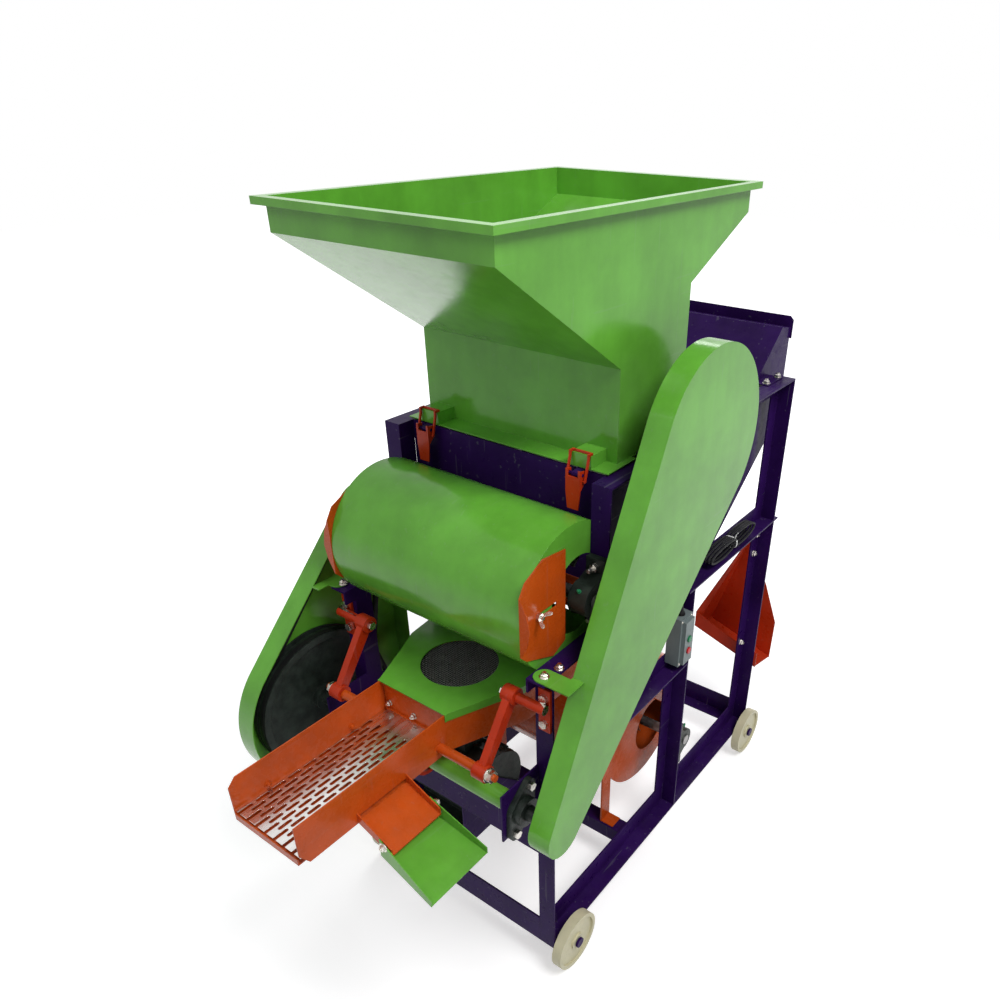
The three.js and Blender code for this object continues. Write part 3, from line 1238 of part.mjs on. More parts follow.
// Wire bail: its feet sit in the lever's cheeks and its top hooks over the catch block
function latchBail(side) {
  const l = latch;
  const x = side * catchBlock.x;
  const legX = l.bailHalf;
  const foot = l.leverWidth / 2 - l.leverSheet;
  const top = hopper.bottom + catchBlock.height + gap + l.wire;
  const faceY = hopper.neckFront - hopper.flangeFront;
  const legY = faceY - l.wire - gap;
  const pieces = [box([x - legX - l.wire, x + legX + l.wire], [faceY + l.hookBack - l.wire, faceY + l.hookBack + l.wire],
    [top - l.wire, top + l.wire])];
  for (const end of [1, -1]) {
    const legs = [x + end * legX - l.wire, x + end * legX + l.wire];
    pieces.push(box(legs, [legY - 2 * l.wire, faceY + l.hookBack + l.wire], [top - l.wire, top + l.wire]));
    pieces.push(prismX([[bailPivot.y - l.wire, bailPivot.z - l.wire], [bailPivot.y + l.wire, bailPivot.z - l.wire],
      [legY, top - l.wire - overrun], [legY, top + l.wire], [legY - 2 * l.wire, top + l.wire],
      [legY - 2 * l.wire, top - l.wire - overrun]], ...legs));
    pieces.push(barX(l.wire, [x + end * foot, x + end * (legX + l.wire)], bailPivot.y, bailPivot.z, coarseSides));
  }
  return join(pieces);
}

// Duct that carries the shells up and out at the rear

function shellDuct() {
  const d = duct;
  const outline = [[d.front, d.entryBottom], [d.bottomFront, d.entryBottom], [d.rear, d.outletBottom],
    [d.rear, d.outletTop], [d.foldY, d.foldZ], [d.front, d.entryTop]];
  const inside = inset(outline, sheet).map(([y, z]) => [y, z]);
  inside[0][0] = d.front - overrun;
  inside[5][0] = d.front - overrun;
  inside[2][0] = d.rear + overrun;
  inside[3][0] = d.rear + overrun;
  const shell = prismX(outline, -d.halfWidth, d.halfWidth)
    .subtract(prismX(inside, -d.halfWidth + sheet, d.halfWidth - sheet));
  const lipX = d.halfWidth + d.lipOut;
  const corner = d.lipTop - d.outletTop;
  const lip = prismY([[-lipX, d.outletTop - corner], [lipX, d.outletTop - corner], [lipX, d.lipTop - corner / 3],
    [lipX - corner / 3, d.lipTop], [-lipX + corner / 3, d.lipTop], [-lipX, d.lipTop - corner / 3]],
  d.rear, d.rear + sheet);
  const mouth = box([-d.halfWidth + sheet, d.halfWidth - sheet], [d.rear - overrun, d.rear + overrun],
    [d.outletBottom, d.outletTop - sheet]);
  const tabs = [1, -1].map((side) => box([side * (d.halfWidth - sheet / 2), side * (inner + d.tabOut)],
    [d.tabFront, d.tabRear], [topRail.top + gap, topRail.top + gap + sheet]));
  return join(shell, lip.subtract(mouth), tabs);
}

// Trough behind the rear posts that lets the light nuts out to the right

function rearChuteBody() {
  const r = rearChute;
  const t = sheet;
  const back = r.back - t;
  const floor = panel([[r.left, r.front, r.floorLeft], [r.right, r.front, r.floorRight],
    [r.right, r.back, r.floorRight - r.drop], [r.left, r.back, r.floorLeft - r.drop]], t);
  const low = t + t;
  const frontWall = prismY([[r.left, r.floorLeft - low], [r.right, r.floorRight - low],
    [r.right, r.floorRight + r.wallHeight], [r.strapRight, r.floorRight + r.wallHeight], [r.strapRight, r.strapTop],
    [r.strapLeft, r.strapTop], [r.strapLeft, r.floorRight + r.wallHeight + t], [r.left, r.floorLeft + r.wallHeight]],
  r.front, r.front + t);
  const rise = r.backTop - r.floorLeft;
  const backWall = prismY([[r.left, r.floorLeft - r.drop - low], [r.right, r.floorRight - r.drop - low],
    [r.right + t, r.floorRight + rise / 3], [r.strapLeft, r.floorRight + rise * 0.72], [r.strapLeft - rise / 4, r.backTop],
    [r.strapLeft - rise / 4 - t, r.backTop]], back, r.back);
  const end = panel([[r.left, r.front, r.floorLeft - low], [r.left, r.back, r.floorLeft - r.drop - low],
    [r.left + rise / 3, r.back, r.backTop - t], [r.left, r.front, r.floorLeft + r.wallHeight]], -t);
  return join(floor, frontWall, backWall, end);
}

// Switch box, buttons and cable

function switchBoxBody() {
  const s = switchBox;
  const rear = midPost.rearFace - s.rearGap;
  const front = rear - s.depth;
  const body = join(
    box([s.inner, s.outer], [front, rear], [s.bottom, s.top]),
    box([s.outer - weldBite, s.face], [front + s.step, rear - s.step], [s.bottom + s.step, s.top - s.step]),
  );
  const wells = [button.greenZ, button.redZ].map((z) =>
    barX(boreFor(button.radius), [s.face - button.depth - button.travel - gap, s.face + overrun], front + s.depth / 2, z));
  return body.subtract(join(wells));
}

const buttonY = midPost.rearFace - switchBox.rearGap - switchBox.depth / 2;

function buttonAt(z) {
  return barX(button.radius, [switchBox.face - button.depth, switchBox.face + button.proud], buttonY, z);
}

// Flat loops of cable, drawn in at the middle, that stand side by side on the upper rail
function hankPath() {
  const h = hank;
  const centreZ = upperRail.bottom + iron.wall + gap + cable.radius + h.height / 2;
  return Array.from({ length: Math.round(h.loops * h.loopSteps) + 1 }, (_, i) => {
    const turn = i / h.loopSteps;
    const angle = 2 * Math.PI * turn;
    const lobe = h.waistShare + (1 - h.waistShare) * Math.sqrt(Math.abs(Math.cos(angle)));
    return new THREE.Vector3(h.firstX + h.pitch * turn, h.y - (h.length / 2) * Math.cos(angle),
      centreZ + (h.height / 2) * Math.sin(angle) * lobe);
  });
}

// Free stretch: up out of the switch box, over the end of the rail and back to the hank
function leadPath() {
  const start = new THREE.Vector3((switchBox.inner + switchBox.outer) / 2, buttonY, switchBox.top + gap);
  const [end, second] = hankPath();
  const away = end.clone().sub(second).normalize();
  const joint = end.clone().addScaledVector(away, 2 * gap);
  const railTop = upperRail.bottom + upperRail.upright;
  const points = [
    start,
    start.clone().setZ(switchBox.top + 6 * cable.radius),
    new THREE.Vector3(start.x, upperRail.front - 4 * cable.radius, upperRail.bottom),
    new THREE.Vector3((start.x + end.x) / 2, upperRail.front + 4 * cable.radius, railTop - cable.radius),
    new THREE.Vector3(end.x, (upperRail.front + end.y) / 2, railTop - 4 * cable.radius),
    joint.clone().addScaledVector(away, 4 * cable.radius),
    joint,
  ];
  return new THREE.CatmullRomCurve3(points, false, 'centripetal', cable.tail).getSpacedPoints(cable.steps);
}

// Least distance between the surfaces of two parts of a path that lie some way apart along it
function leastGap(path, radius, apart) {
  let least = Infinity;
  path.forEach((point, i) => {
    for (let k = i + apart; k < path.length - 1; k++) {
      const line = new THREE.Line3(path[k], path[k + 1]);
      const nearest = line.closestPointToPoint(point, true, new THREE.Vector3());
      least = Math.min(least, nearest.distanceTo(point));
    }
  });
  return least - 2 * radius;
}

console.log(`hank: least gap to itself ${leastGap(hankPath(), cable.radius, hank.loopSteps / 4).toFixed(2)} mm`);

// Assembly

add('base_frame', baseFrame(), purple);
for (const [name, side] of [['right', 1], ['left', -1]]) {
  add(`side_frame_${name}`, sideFrame(side), purple);
}
add('front_mid_rail', frontMidRailAndCradle(), purple);
add('chamber_housing', chamberHousing(), purple);
add('drum_grate', grateBody(), steel);
add('hopper', hopperBody(), green);
add('fan_cover', fanCover(), green);
add('shell_duct', shellDuct(), purple);
add('rear_chute', rearChuteBody(), orange);
add('blower_casing', blowerCasing(), orange);
add('motor', motorBody(), blackIron);
add('guard_right', guardRightBody(), green);
add('guard_left', guardLeftBody(), green);
add('drum_belt', beltRound(pulleyPlane.right, [at.drum(sheave.drum), at.drive(sheave.driveRight)]), rubber);
add('fan_belt', beltRound(-pulleyPlane.leftOuter, [at.drive(sheave.driveLeft), at.fan(sheave.fan)]), rubber);
add('motor_belt', beltRound(-pulleyPlane.leftInner, [at.drive(sheave.driveLeft), at.motor(sheave.motor)]), rubber);
add('blower_belt', beltRound(-pulleyPlane.leftOuter, [at.motor(sheave.motor), at.blower(sheave.blower)]), rubber);

const driveSeat = innerWall + gap;
const fanFoot = topRail.front - gap;
const blowerFoot = midPost.rearFace + gap;
for (const [name, side] of [['right', 1], ['left', -1]]) {
  const onRail = topRail.top + gap;
  add(`drum_bearing_${name}`, pillowBlock(side, pillow, drum.shaft, 0, drum.y, onRail), blackIron);
  add(`fan_bearing_${name}`, pillowBlock(side, fanPillow, fan.shaft, quarterTurn, fanFoot, fan.z), blackIron);
  add(`drive_bearing_${name}`, flangeBearing(side, drive, driveSeat), blackIron);
  add(`blower_bearing_${name}`, pillowBlock(side, pillow, blower.shaft, -quarterTurn, blowerFoot, blower.z), blackIron);
  add(`shaft_cover_${name}`, shaftCover(side), green);
  add(`rocker_bracket_${name}`, rockerBracket(side), linkRed);
  add(`shutter_${name}`, shutterBody(side), orange);
  add(`latch_lever_${name}`, latchLever(side), linkRed);
  add(`latch_bail_${name}`, latchBail(side), linkRed);
  add(`link_front_${name}`, rockerLink(side, 0), linkRed);
  add(`link_rear_${name}`, rockerLink(side, link.rearStep), linkRed);
  for (const [end, y] of [['front', axle.frontY], ['rear', base.depth - axle.inset]]) {
    add(`wheel_${end}_${name}`, revolveX(wheelProfile(side), y, wheelZ, wheelSides), nylon);
  }
}
add('drum', drumBody(), steel);
add('fan_rotor', fanRotor(), steel);
add('drive_shaft', driveShaft(), blackIron);
add('motor_pulley', motorPulley(), blackIron);
add('blower_rotor', blowerRotor(), steel);
add('connecting_rod', rodBody(), linkRed);
add('sieve_box', sieveBox(), orange);
add('sieve_screen', sieveScreen(), screenSteel);
add('sieve_cover', sieveCover(), green);
add('kernel_chute', kernelChuteBody(), green);
add('switch_box', switchBoxBody(), boxGrey);
add('cable_lead', cord(leadPath(), cable.radius, cable.sides), rubber);
add('cable_hank', cord(hankPath(), cable.radius, hank.sides), rubber);
add('start_button', buttonAt(button.greenZ), startGreen);
add('stop_button', buttonAt(button.redZ), stopRed);

machine.position.y = -(sieve.front + rearChute.back) / 2;

export default machine;
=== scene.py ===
import json
import math

import bmesh
import bpy
from mathutils import Matrix, Vector
from mathutils.bvhtree import BVHTree


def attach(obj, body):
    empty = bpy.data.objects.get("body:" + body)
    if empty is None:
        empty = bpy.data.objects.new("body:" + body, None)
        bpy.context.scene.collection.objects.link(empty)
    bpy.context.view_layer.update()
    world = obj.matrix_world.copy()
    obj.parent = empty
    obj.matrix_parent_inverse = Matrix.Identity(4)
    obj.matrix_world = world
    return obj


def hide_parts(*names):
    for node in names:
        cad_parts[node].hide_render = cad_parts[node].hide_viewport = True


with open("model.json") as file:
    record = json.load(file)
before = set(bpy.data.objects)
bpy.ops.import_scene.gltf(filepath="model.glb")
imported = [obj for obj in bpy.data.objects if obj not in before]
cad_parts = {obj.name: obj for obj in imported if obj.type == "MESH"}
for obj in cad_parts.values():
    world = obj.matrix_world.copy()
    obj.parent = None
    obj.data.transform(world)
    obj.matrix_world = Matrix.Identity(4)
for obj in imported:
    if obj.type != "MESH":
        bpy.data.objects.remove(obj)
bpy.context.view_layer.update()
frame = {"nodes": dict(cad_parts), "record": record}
nodes = frame["nodes"]
record = frame["record"]

# Sizes are in millimetres, and Y = 0 is the front face of the base frame, as in the part's source.
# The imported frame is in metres, with its origin further back by SHIFT.
MM = 0.001
SHIFT = 317


def at(x, y, z):
    """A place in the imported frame, from the source's millimetres."""
    return Vector((x * MM, (y - SHIFT) * MM, z * MM))


# Camera

EYE = (965, -901, 1715)
YAW, PITCH, ROLL = math.radians(35.25), math.radians(30.96), math.radians(0.83)
SENSOR = 36
FOCAL_SHARE = 0.8181
LENS_X, LENS_Y = -0.0788, 0.0805


def set_camera():
    level = math.cos(PITCH)
    ahead = Vector((-math.sin(YAW) * level, math.cos(YAW) * level, -math.sin(PITCH)))
    right = Vector((math.cos(YAW), math.sin(YAW), 0))
    up = right.cross(ahead)
    rolled = math.cos(ROLL) * right + math.sin(ROLL) * up
    upright = math.cos(ROLL) * up - math.sin(ROLL) * right
    data = bpy.data.cameras.new("camera")
    data.sensor_width = SENSOR
    data.lens = SENSOR * FOCAL_SHARE
    data.shift_x, data.shift_y = LENS_X, LENS_Y
    data.clip_end = 50
    camera = bpy.data.objects.new("camera", data)
    turn = Matrix((rolled, upright, -ahead)).transposed().to_4x4()
    camera.matrix_world = Matrix.Translation(at(*EYE)) @ turn
    bpy.context.collection.objects.link(camera)
    bpy.context.scene.camera = camera


set_camera()


# Materials


class Graph:
    """A tree of nodes. Each input of a node is given as a value or as another node's output."""

    def __init__(self, tree):
        self.tree = tree

    def link(self, source, target):
        self.tree.links.new(source, target)

    def add(self, kind, inputs=None, **settings):
        made = self.tree.nodes.new(kind)
        for key, value in settings.items():
            setattr(made, key, value)
        for key, value in (inputs or {}).items():
            if isinstance(value, bpy.types.NodeSocket):
                self.link(value, made.inputs[key])
            else:
                made.inputs[key].default_value = value
        return made

    def out(self, kind, inputs=None, **settings):
        return self.add(kind, inputs, **settings).outputs[0]

    def math(self, operation, a, b=0.0):
        return self.out("ShaderNodeMath", {0: a, 1: b}, operation=operation)

    def times(self, a, b):
        return self.math("MULTIPLY", a, b)

    def plus(self, a, b):
        return self.math("ADD", a, b)

    def ramp(self, value, low, high, out_low=0.0, out_high=1.0):
        return self.out("ShaderNodeMapRange", {0: value, 1: low, 2: high, 3: out_low, 4: out_high})

    def mix(self, share, a, b):
        return self.add("ShaderNodeMix", {0: share, 6: a, 7: b}, data_type="RGBA").outputs[2]

    def split(self, vector):
        return self.add("ShaderNodeSeparateXYZ", {0: vector}).outputs


class Finish(Graph):
    """A procedural material on Object coordinates, built up from a principled shader."""

    def __init__(self, name, roughness, metallic=0.0, coat=0.0, specular=0.5):
        self.material = bpy.data.materials.new(name)
        self.material.use_nodes = True
        super().__init__(self.material.node_tree)
        self.shader = self.tree.nodes["Principled BSDF"]
        self.shader.inputs["Metallic"].default_value = metallic
        self.shader.inputs["Roughness"].default_value = roughness
        self.shader.inputs["Coat Weight"].default_value = coat
        self.shader.inputs["Coat Roughness"].default_value = 0.12
        self.shader.inputs["Specular IOR Level"].default_value = specular
        self.coordinates = self.add("ShaderNodeTexCoord").outputs["Object"]

    def noise(self, scale, detail, roughness=0.6, stretch=(1, 1, 1)):
        place = self.out("ShaderNodeMapping", {"Vector": self.coordinates, "Scale": stretch})
        made = self.add("ShaderNodeTexNoise", {
            "Vector": place, "Scale": scale, "Detail": detail, "Roughness": roughness})
        return made.outputs["Fac"]

    def colour(self, socket):
        self.link(socket, self.shader.inputs["Base Color"])

    def rough(self, socket):
        self.link(socket, self.shader.inputs["Roughness"])

    def upward(self):
        normal = self.add("ShaderNodeNewGeometry").outputs["Normal"]
        return self.split(normal)[2]

    def bump(self, height, strength, distance, edge=0.0012):
        """Relief over the whole surface, on edges that catch the light as if rounded off."""
        soft = self.out("ShaderNodeBevel", {"Radius": edge}, samples=4)
        relief = self.out("ShaderNodeBump", {
            "Height": height, "Strength": strength, "Distance": distance, "Normal": soft})
        self.link(relief, self.shader.inputs["Normal"])


def shade(colour, share):
    return tuple(min(1.0, c * share) for c in colour) + (1.0,)


DUST = (0.36, 0.31, 0.22, 1.0)
RUST = (0.16, 0.1, 0.06, 1.0)
# Stretches of a noise pattern: paint that ran down, and scratches from front to back and upright
RUNNING_DOWN = (1, 1, 0.12)
SCRATCHES = ((1, 0.04, 1), (1, 1, 0.05))


def enamel(name, colour, roughness, coat=0.05, specular=0.16, dust=0.04, dark=0.78, bright=1.14,
           scratch=0.15):
    """Sprayed enamel: uneven depth, faint runs, chips, scratches, orange peel, dusty flat tops."""
    made = Finish(name, roughness, coat=coat, specular=specular)
    clouds = made.ramp(made.noise(7, detail=5), 0.3, 0.7)
    paint = made.mix(clouds, shade(colour, dark), shade(colour, bright))
    runs = made.ramp(made.noise(26, 3, roughness=0.5, stretch=RUNNING_DOWN), 0.42, 0.68)
    paint = made.mix(made.times(runs, 0.2), paint, shade(colour, dark * 0.8))
    chips = made.ramp(made.noise(190, 3, roughness=0.7), 0.71, 0.74)
    paint = made.mix(made.times(chips, 0.5), paint, shade(colour, 0.35))
    scratched = shade([c * 0.6 + 0.12 for c in colour], 1.0)
    for stretch in SCRATCHES:
        lines = made.ramp(made.noise(120, 2, roughness=0.4, stretch=stretch), 0.7, 0.72)
        paint = made.mix(made.times(lines, scratch), paint, scratched)
    flat = made.ramp(made.upward(), 0.35, 0.95)
    settled = made.times(flat, made.ramp(made.noise(38, 6, roughness=0.7), 0.35, 0.75))
    made.colour(made.mix(made.times(settled, dust), paint, DUST))
    made.rough(made.ramp(made.noise(55, 4), 0.3, 0.7, roughness * 0.8, roughness * 1.45))
    made.bump(made.noise(420, 2, roughness=0.5), 0.08, 0.0005)
    return made.material


def bare_metal(name, colour, roughness, stretch=(1, 1, 1), worn=0.75):
    """Metal with a fine grain along the stretch, duller patches and a few brown spots."""
    made = Finish(name, roughness, metallic=1.0)
    patches = made.ramp(made.noise(30, 6), 0.3, 0.75)
    base = made.mix(patches, shade(colour, worn), shade(colour, 1.08))
    spots = made.ramp(made.noise(140, 4, roughness=0.7), 0.64, 0.74)
    made.colour(made.mix(made.times(spots, 0.35), base, RUST))
    grain = made.noise(90, 5, stretch=stretch)
    made.rough(made.ramp(grain, 0.3, 0.7, roughness * 0.7, roughness * 1.6))
    made.bump(made.noise(600, 3, stretch=stretch), 0.15, 0.0004, 0.0006)
    return made.material


def cast_iron(name, colour):
    """Painted castings, with the sand's grain under the paint."""
    made = Finish(name, 0.42, coat=0.05, specular=0.2)
    patches = made.ramp(made.noise(45, 5), 0.35, 0.7)
    made.colour(made.mix(patches, shade(colour, 0.6), shade(colour, 1.7)))
    made.rough(made.ramp(made.noise(70, 4), 0.3, 0.7, 0.3, 0.55))
    made.bump(made.noise(520, 4, roughness=0.7), 0.35, 0.0012)
    return made.material


def moulded(name, colour, roughness, grain, depth, dirt, specular=0.3):
    """Plastic or rubber with a fine grain of a given depth, and dirt in spots."""
    made = Finish(name, roughness, specular=specular)
    clouds = made.ramp(made.noise(16, 4), 0.3, 0.7)
    base = made.mix(clouds, shade(colour, 0.88), shade(colour, 1.05))
    spots = made.ramp(made.noise(120, 5, roughness=0.7), 0.56, 0.75)
    made.colour(made.mix(made.times(spots, dirt), base, shade(colour, 0.35)))
    made.rough(made.ramp(made.noise(80, 3), 0.3, 0.7, roughness * 0.85, roughness * 1.2))
    made.bump(made.noise(grain, 2, roughness=0.5), depth, 0.0005, 0.0008)
    return made.material


GREEN = (0.118, 0.375, 0.036)
PURPLE = (0.023, 0.005, 0.070)
ORANGE = (0.520, 0.072, 0.006)
RED = (0.480, 0.032, 0.006)
CASTING = (0.014, 0.020, 0.016)
TURNED = (0.40, 0.39, 0.38)
BRIGHT = (0.80, 0.80, 0.78)
ZINC = (0.66, 0.63, 0.58)
DARK_STEEL = (0.20, 0.20, 0.19)
BELT_BLACK = (0.012, 0.012, 0.013)
# The black of the disc under the window mesh: painted shade, not a real part
SHADE_BLACK = (0.006, 0.006, 0.006)
CREAM = (0.62, 0.58, 0.39)
BOX_GREY = (0.17, 0.205, 0.205)
BUTTON_GREEN = (0.01, 0.19, 0.07)
BUTTON_RED = (0.48, 0.012, 0.02)
TIE_WHITE = (0.78, 0.78, 0.75)

# One for each material slot of the record
finishes = {
    "purple_frame": enamel("purple_enamel", PURPLE, 0.3, coat=0.0, specular=0.05, dust=0.02,
                           dark=0.7, bright=1.3, scratch=0.3),
    "green_enamel": enamel("green_enamel", GREEN, 0.17, coat=0.1, specular=0.22),
    "orange_enamel": enamel("orange_enamel", ORANGE, 0.24),
    "red_enamel": enamel("red_enamel", RED, 0.3),
    "black_iron": cast_iron("black_iron", CASTING),
    "steel": bare_metal("turned_steel", TURNED, 0.36, worn=0.6),
    "screen_steel": bare_metal("bright_screen", BRIGHT, 0.24, stretch=(1, 0.1, 1), worn=0.9),
    "rubber": moulded("belt_rubber", BELT_BLACK, 0.5, grain=700, depth=0.2, dirt=0.0,
                      specular=0.15),
    "nylon": moulded("cream_nylon", CREAM, 0.42, grain=300, depth=0.1, dirt=0.2),
    "box_grey": moulded("grey_case", BOX_GREY, 0.45, grain=1400, depth=0.18, dirt=0.12),
    "start_green": moulded("green_button", BUTTON_GREEN, 0.3, grain=300, depth=0.02, dirt=0.05),
    "stop_red": moulded("red_button", BUTTON_RED, 0.3, grain=300, depth=0.02, dirt=0.05),
}
zinc = bare_metal("zinc_plate", ZINC, 0.24, worn=0.85)
dark_wire = bare_metal("woven_wire_steel", DARK_STEEL, 0.35, worn=0.7)
# Painted shade: a black finish for the disc that stands for the dark space behind the window mesh
painted_shade = moulded("black_gauze", SHADE_BLACK, 0.9, grain=900, depth=0.3, dirt=0.0)
white_tie = moulded("white_tie", TIE_WHITE, 0.4, grain=300, depth=0.03, dirt=0.1)

slot_of = {entry["node"]: entry["material_slot"] for entry in record["subparts"]}
body_of = {member: body for body, members in record["behaviour"]["bodies"].items()
           for member in members}


# Carried-over nodes: their facets are rounded where they stand for turned or rolled shapes

# Axes of the round parts: how far to the rear they lie, and how high
FAN_Y, FAN_Z = 128.2, 930
DRUM_Y, DRUM_Z = 365, 1165.5
DRIVE_Y, DRIVE_Z = -62, 553
BLOWER_Y, BLOWER_Z = 559.5, 290
MOTOR_Y, MOTOR_Z = 125, 330.3
BARREL = (105, 935)
SCROLL = (527, 328)
ECCENTRIC = (-62, 558)
GUARD_TOP = (390, 1160.5)
BOX_Y, BUTTON = 499.7, 8
BUTTONS = ((BOX_Y, 643), (BOX_Y, 611))
PIN, PIN_SIDES = 7, 8
LINK_PINS = ((-17, 772), (-105, 650), (490, 772), (402, 650))
UPPER_PINS = LINK_PINS[::2]
STUD_Y, STUD_Z = 10, 944
WINDOW_Y = 51
WHEEL_RADIUS, WHEEL_SIDES, AXLE = 67.5, 18, 8
WHEEL_Z = WHEEL_RADIUS * math.cos(math.pi / WHEEL_SIDES)
WHEELS = ((56, WHEEL_Z), (932, WHEEL_Z))

# The bolts of a flange bearing stand this far from its middle, turned from upright by this much
EAR_REACH, EAR_TURN = 49.5, math.radians(27)
EAR = (EAR_REACH * math.sin(EAR_TURN), EAR_REACH * math.cos(EAR_TURN))

GAP = 0.3
BORE_SIDES, BELT_SIDES = 12, 30
BELT_DEPTH = 9
BELT_THICKNESS = BELT_DEPTH - GAP


def bore(radius, sides=BORE_SIDES):
    """The corners of a bore that clears a round shaft with its flats."""
    return (radius + GAP) / math.cos(math.pi / sides)


def belt_radii(*pulleys):
    """The inner and then the outer corners of a belt where it runs round its pulleys."""
    inner = [(r - BELT_DEPTH + GAP) / math.cos(math.pi / BELT_SIDES) for r in pulleys]
    return inner + [r + BELT_THICKNESS for r in inner]


# Each entry: the direction of the axis, its place, and the radii of all that is round about it
ROUND = [
    # The sheet of the fan's housing
    ("x", BARREL, [143, 141.5, 141]),
    # The fan's inlet, sheave and groove, its shaft, rotor, left guard, bearings, bores and belt
    ("x", (FAN_Y, FAN_Z), [78, 45, 36, 12.5, 62, 60, 34, bore(12.5), *belt_radii(45)]),
    # The blower's casing, and then its inlet, sheave, shaft, rotor, bearings, bores and belt
    ("x", SCROLL, [175, 173]),
    ("x", (BLOWER_Y, BLOWER_Z), [72, 50, 41, 12.5, 60, 29, bore(12.5), *belt_radii(50)]),
    # The foot of the right guard and the big end of the left one, the drive shaft's sheaves,
    # hubs, bearings and bores, the rod's ring, the shaft's covers and the belts
    ("x", (DRIVE_Y, DRIVE_Z), [50, 48, 190, 188, 30, 27, 36, 160, 151, 144, 28, 15, 29, bore(15),
                               33.2, 42.2, 20, 17, 17.5, *belt_radii(36, 160)]),
    ("x", ECCENTRIC, [22]),
    # The drum's sheave, hub, shaft, bearings, bores and discs, the grate, and the drum's belt
    ("x", (DRUM_Y, DRUM_Z), [134, 125, 118, 28, 17.5, 29, bore(17.5), 88, 112, 121, 23.5,
                             *belt_radii(134)]),
    # The top of the right guard
    ("x", GUARD_TOP, [185, 183]),
    # The left guard round the motor, the motor's sheave, shaft, shield, cowl, bore and belt
    ("x", (MOTOR_Y, MOTOR_Z), [66, 64, 50, 41, 12, 74, 84, bore(12), *belt_radii(50)]),
    # The tread, rim, hub and bore of each wheel, with its axle and cap
    *(("x", wheel, [WHEEL_RADIUS, 58.5, 19, bore(AXLE, WHEEL_SIDES), AXLE, 12])
      for wheel in WHEELS),
    *(("x", button, [BUTTON, bore(BUTTON)]) for button in BUTTONS),
    # The ends of the flange bearings
    *(("x", (DRIVE_Y + end * EAR[0], DRIVE_Z + end * EAR[1]), [15]) for end in (1, -1)),
    ("z", (0, WINDOW_Y), [79]),
    # The links' pins with their collars, washers, eyes, arms and bores
    *(("x", pin, [PIN, 10, 15, 17, 13, bore(PIN, PIN_SIDES)]) for pin in LINK_PINS),
]

# In metres: how near to its circle a corner lies, the shortest chord that is cut, and how long
# the facets may stay
ON_CIRCLE, SHORTEST_CHORD, FACET = 0.00003, 0.0005, 0.008
# A chord is shorter than this share of the radius
LONGEST_CHORD = 0.95
MOST_CUTS = 4
# Faces that turn by less than FLAT, in radians, are one plane, and edges up to SHARP are smooth
FLAT = 0.01
SHARP = math.radians(32)
# Corners of a CAD mesh that lie this near to each other, in metres, are one
SAME_CORNER = 0.000002


def across(point, axis):
    """The place of a point as seen along the axis."""
    return Vector((point.y, point.z)) if axis == "x" else Vector((point.x, point.y))


def moved(point, axis, flat):
    """The point at another place as seen along the axis, with the same place along it."""
    return Vector((point.x, flat.x, flat.y)) if axis == "x" else Vector((flat.x, flat.y, point.z))


def is_chord(edge, near, axis, reach):
    """Whether an edge runs from corner to corner of a circle, on a surface that is bent there."""
    a, b = edge.verts
    if a not in near or b not in near:
        return False
    if not edge.is_manifold or edge.calc_face_angle(0.0) <= FLAT:
        return False
    step = (across(a.co, axis) - across(b.co, axis)).length
    return SHORTEST_CHORD < step < reach * LONGEST_CHORD


def round_off(work):
    """Each chord of a known circle is cut, and the new corners move out to the circle."""
    for axis, place, radii in ROUND:
        middle = across(at(0, *place) if axis == "x" else at(*place, 0), axis)
        for radius in radii:
            reach = radius * MM
            near = {vert for vert in work.verts
                    if abs((across(vert.co, axis) - middle).length - reach) < ON_CIRCLE}
            chords = [edge for edge in work.edges if is_chord(edge, near, axis, reach)]
            if not chords:
                continue
            cuts = min(MOST_CUTS, int(reach / FACET) + 1)
            cut = bmesh.ops.subdivide_edges(work, edges=chords, cuts=cuts)
            for vert in cut["geom_split"]:
                if isinstance(vert, bmesh.types.BMVert) and vert not in near:
                    flat = across(vert.co, axis) - middle
                    vert.co = moved(vert.co, axis, middle + flat.normalized() * reach)


def settle(work, mesh):
    """Smooth faces, with a crease wherever the surface really turns."""
    for face in work.faces:
        face.smooth = True
    for edge in work.edges:
        turn = edge.calc_face_angle(math.pi) if edge.is_manifold else math.pi
        edge.smooth = turn < SHARP
    work.to_mesh(mesh)
    work.free()
    mesh.update()


def placed(name, mesh):
    piece = bpy.data.objects.new(name, mesh)
    bpy.context.collection.objects.link(piece)
    return piece


def shaped(name, work):
    """The object that a worked mesh becomes, with its faces as they are."""
    mesh = bpy.data.meshes.new(name)
    work.to_mesh(mesh)
    work.free()
    return placed(name, mesh)


def bake(piece):
    """The piece's modifiers are worked into its mesh."""
    seen = piece.evaluated_get(bpy.context.evaluated_depsgraph_get())
    mesh = bpy.data.meshes.new_from_object(seen)
    piece.modifiers.clear()
    old = piece.data
    piece.data = mesh
    bpy.data.meshes.remove(old)
    mesh.name = piece.name


def even_normals(piece):
    """Large faces keep their own direction, so light runs evenly over sheet metal."""
    weight = piece.modifiers.new("weight", "WEIGHTED_NORMAL")
    weight.mode = "FACE_AREA"
    weight.keep_sharp = True


def soften(piece, width):
    """Rounds off the piece's sharp edges."""
    edge = piece.modifiers.new("edge", "BEVEL")
    edge.width = width * MM
    edge.segments = 3
    edge.limit_method = "ANGLE"
    edge.angle_limit = math.radians(50)


def dress(piece, material):
    piece.data.materials.clear()
    piece.data.materials.append(material)


def fit(piece, material, body):
    dress(piece, material)
    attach(piece, body)


# Nuts and pin ends are bare zinc on the painted casting or plate that they are part of.
# How far from a bearing's middle its nuts begin, and how far a nut or a pin end reaches
BEARING_NUTS, FAN_BEARING_NUTS = 38.5, 43
EAR_NUT, PIN_END, STUD_NUT = 9.6, 11, 10
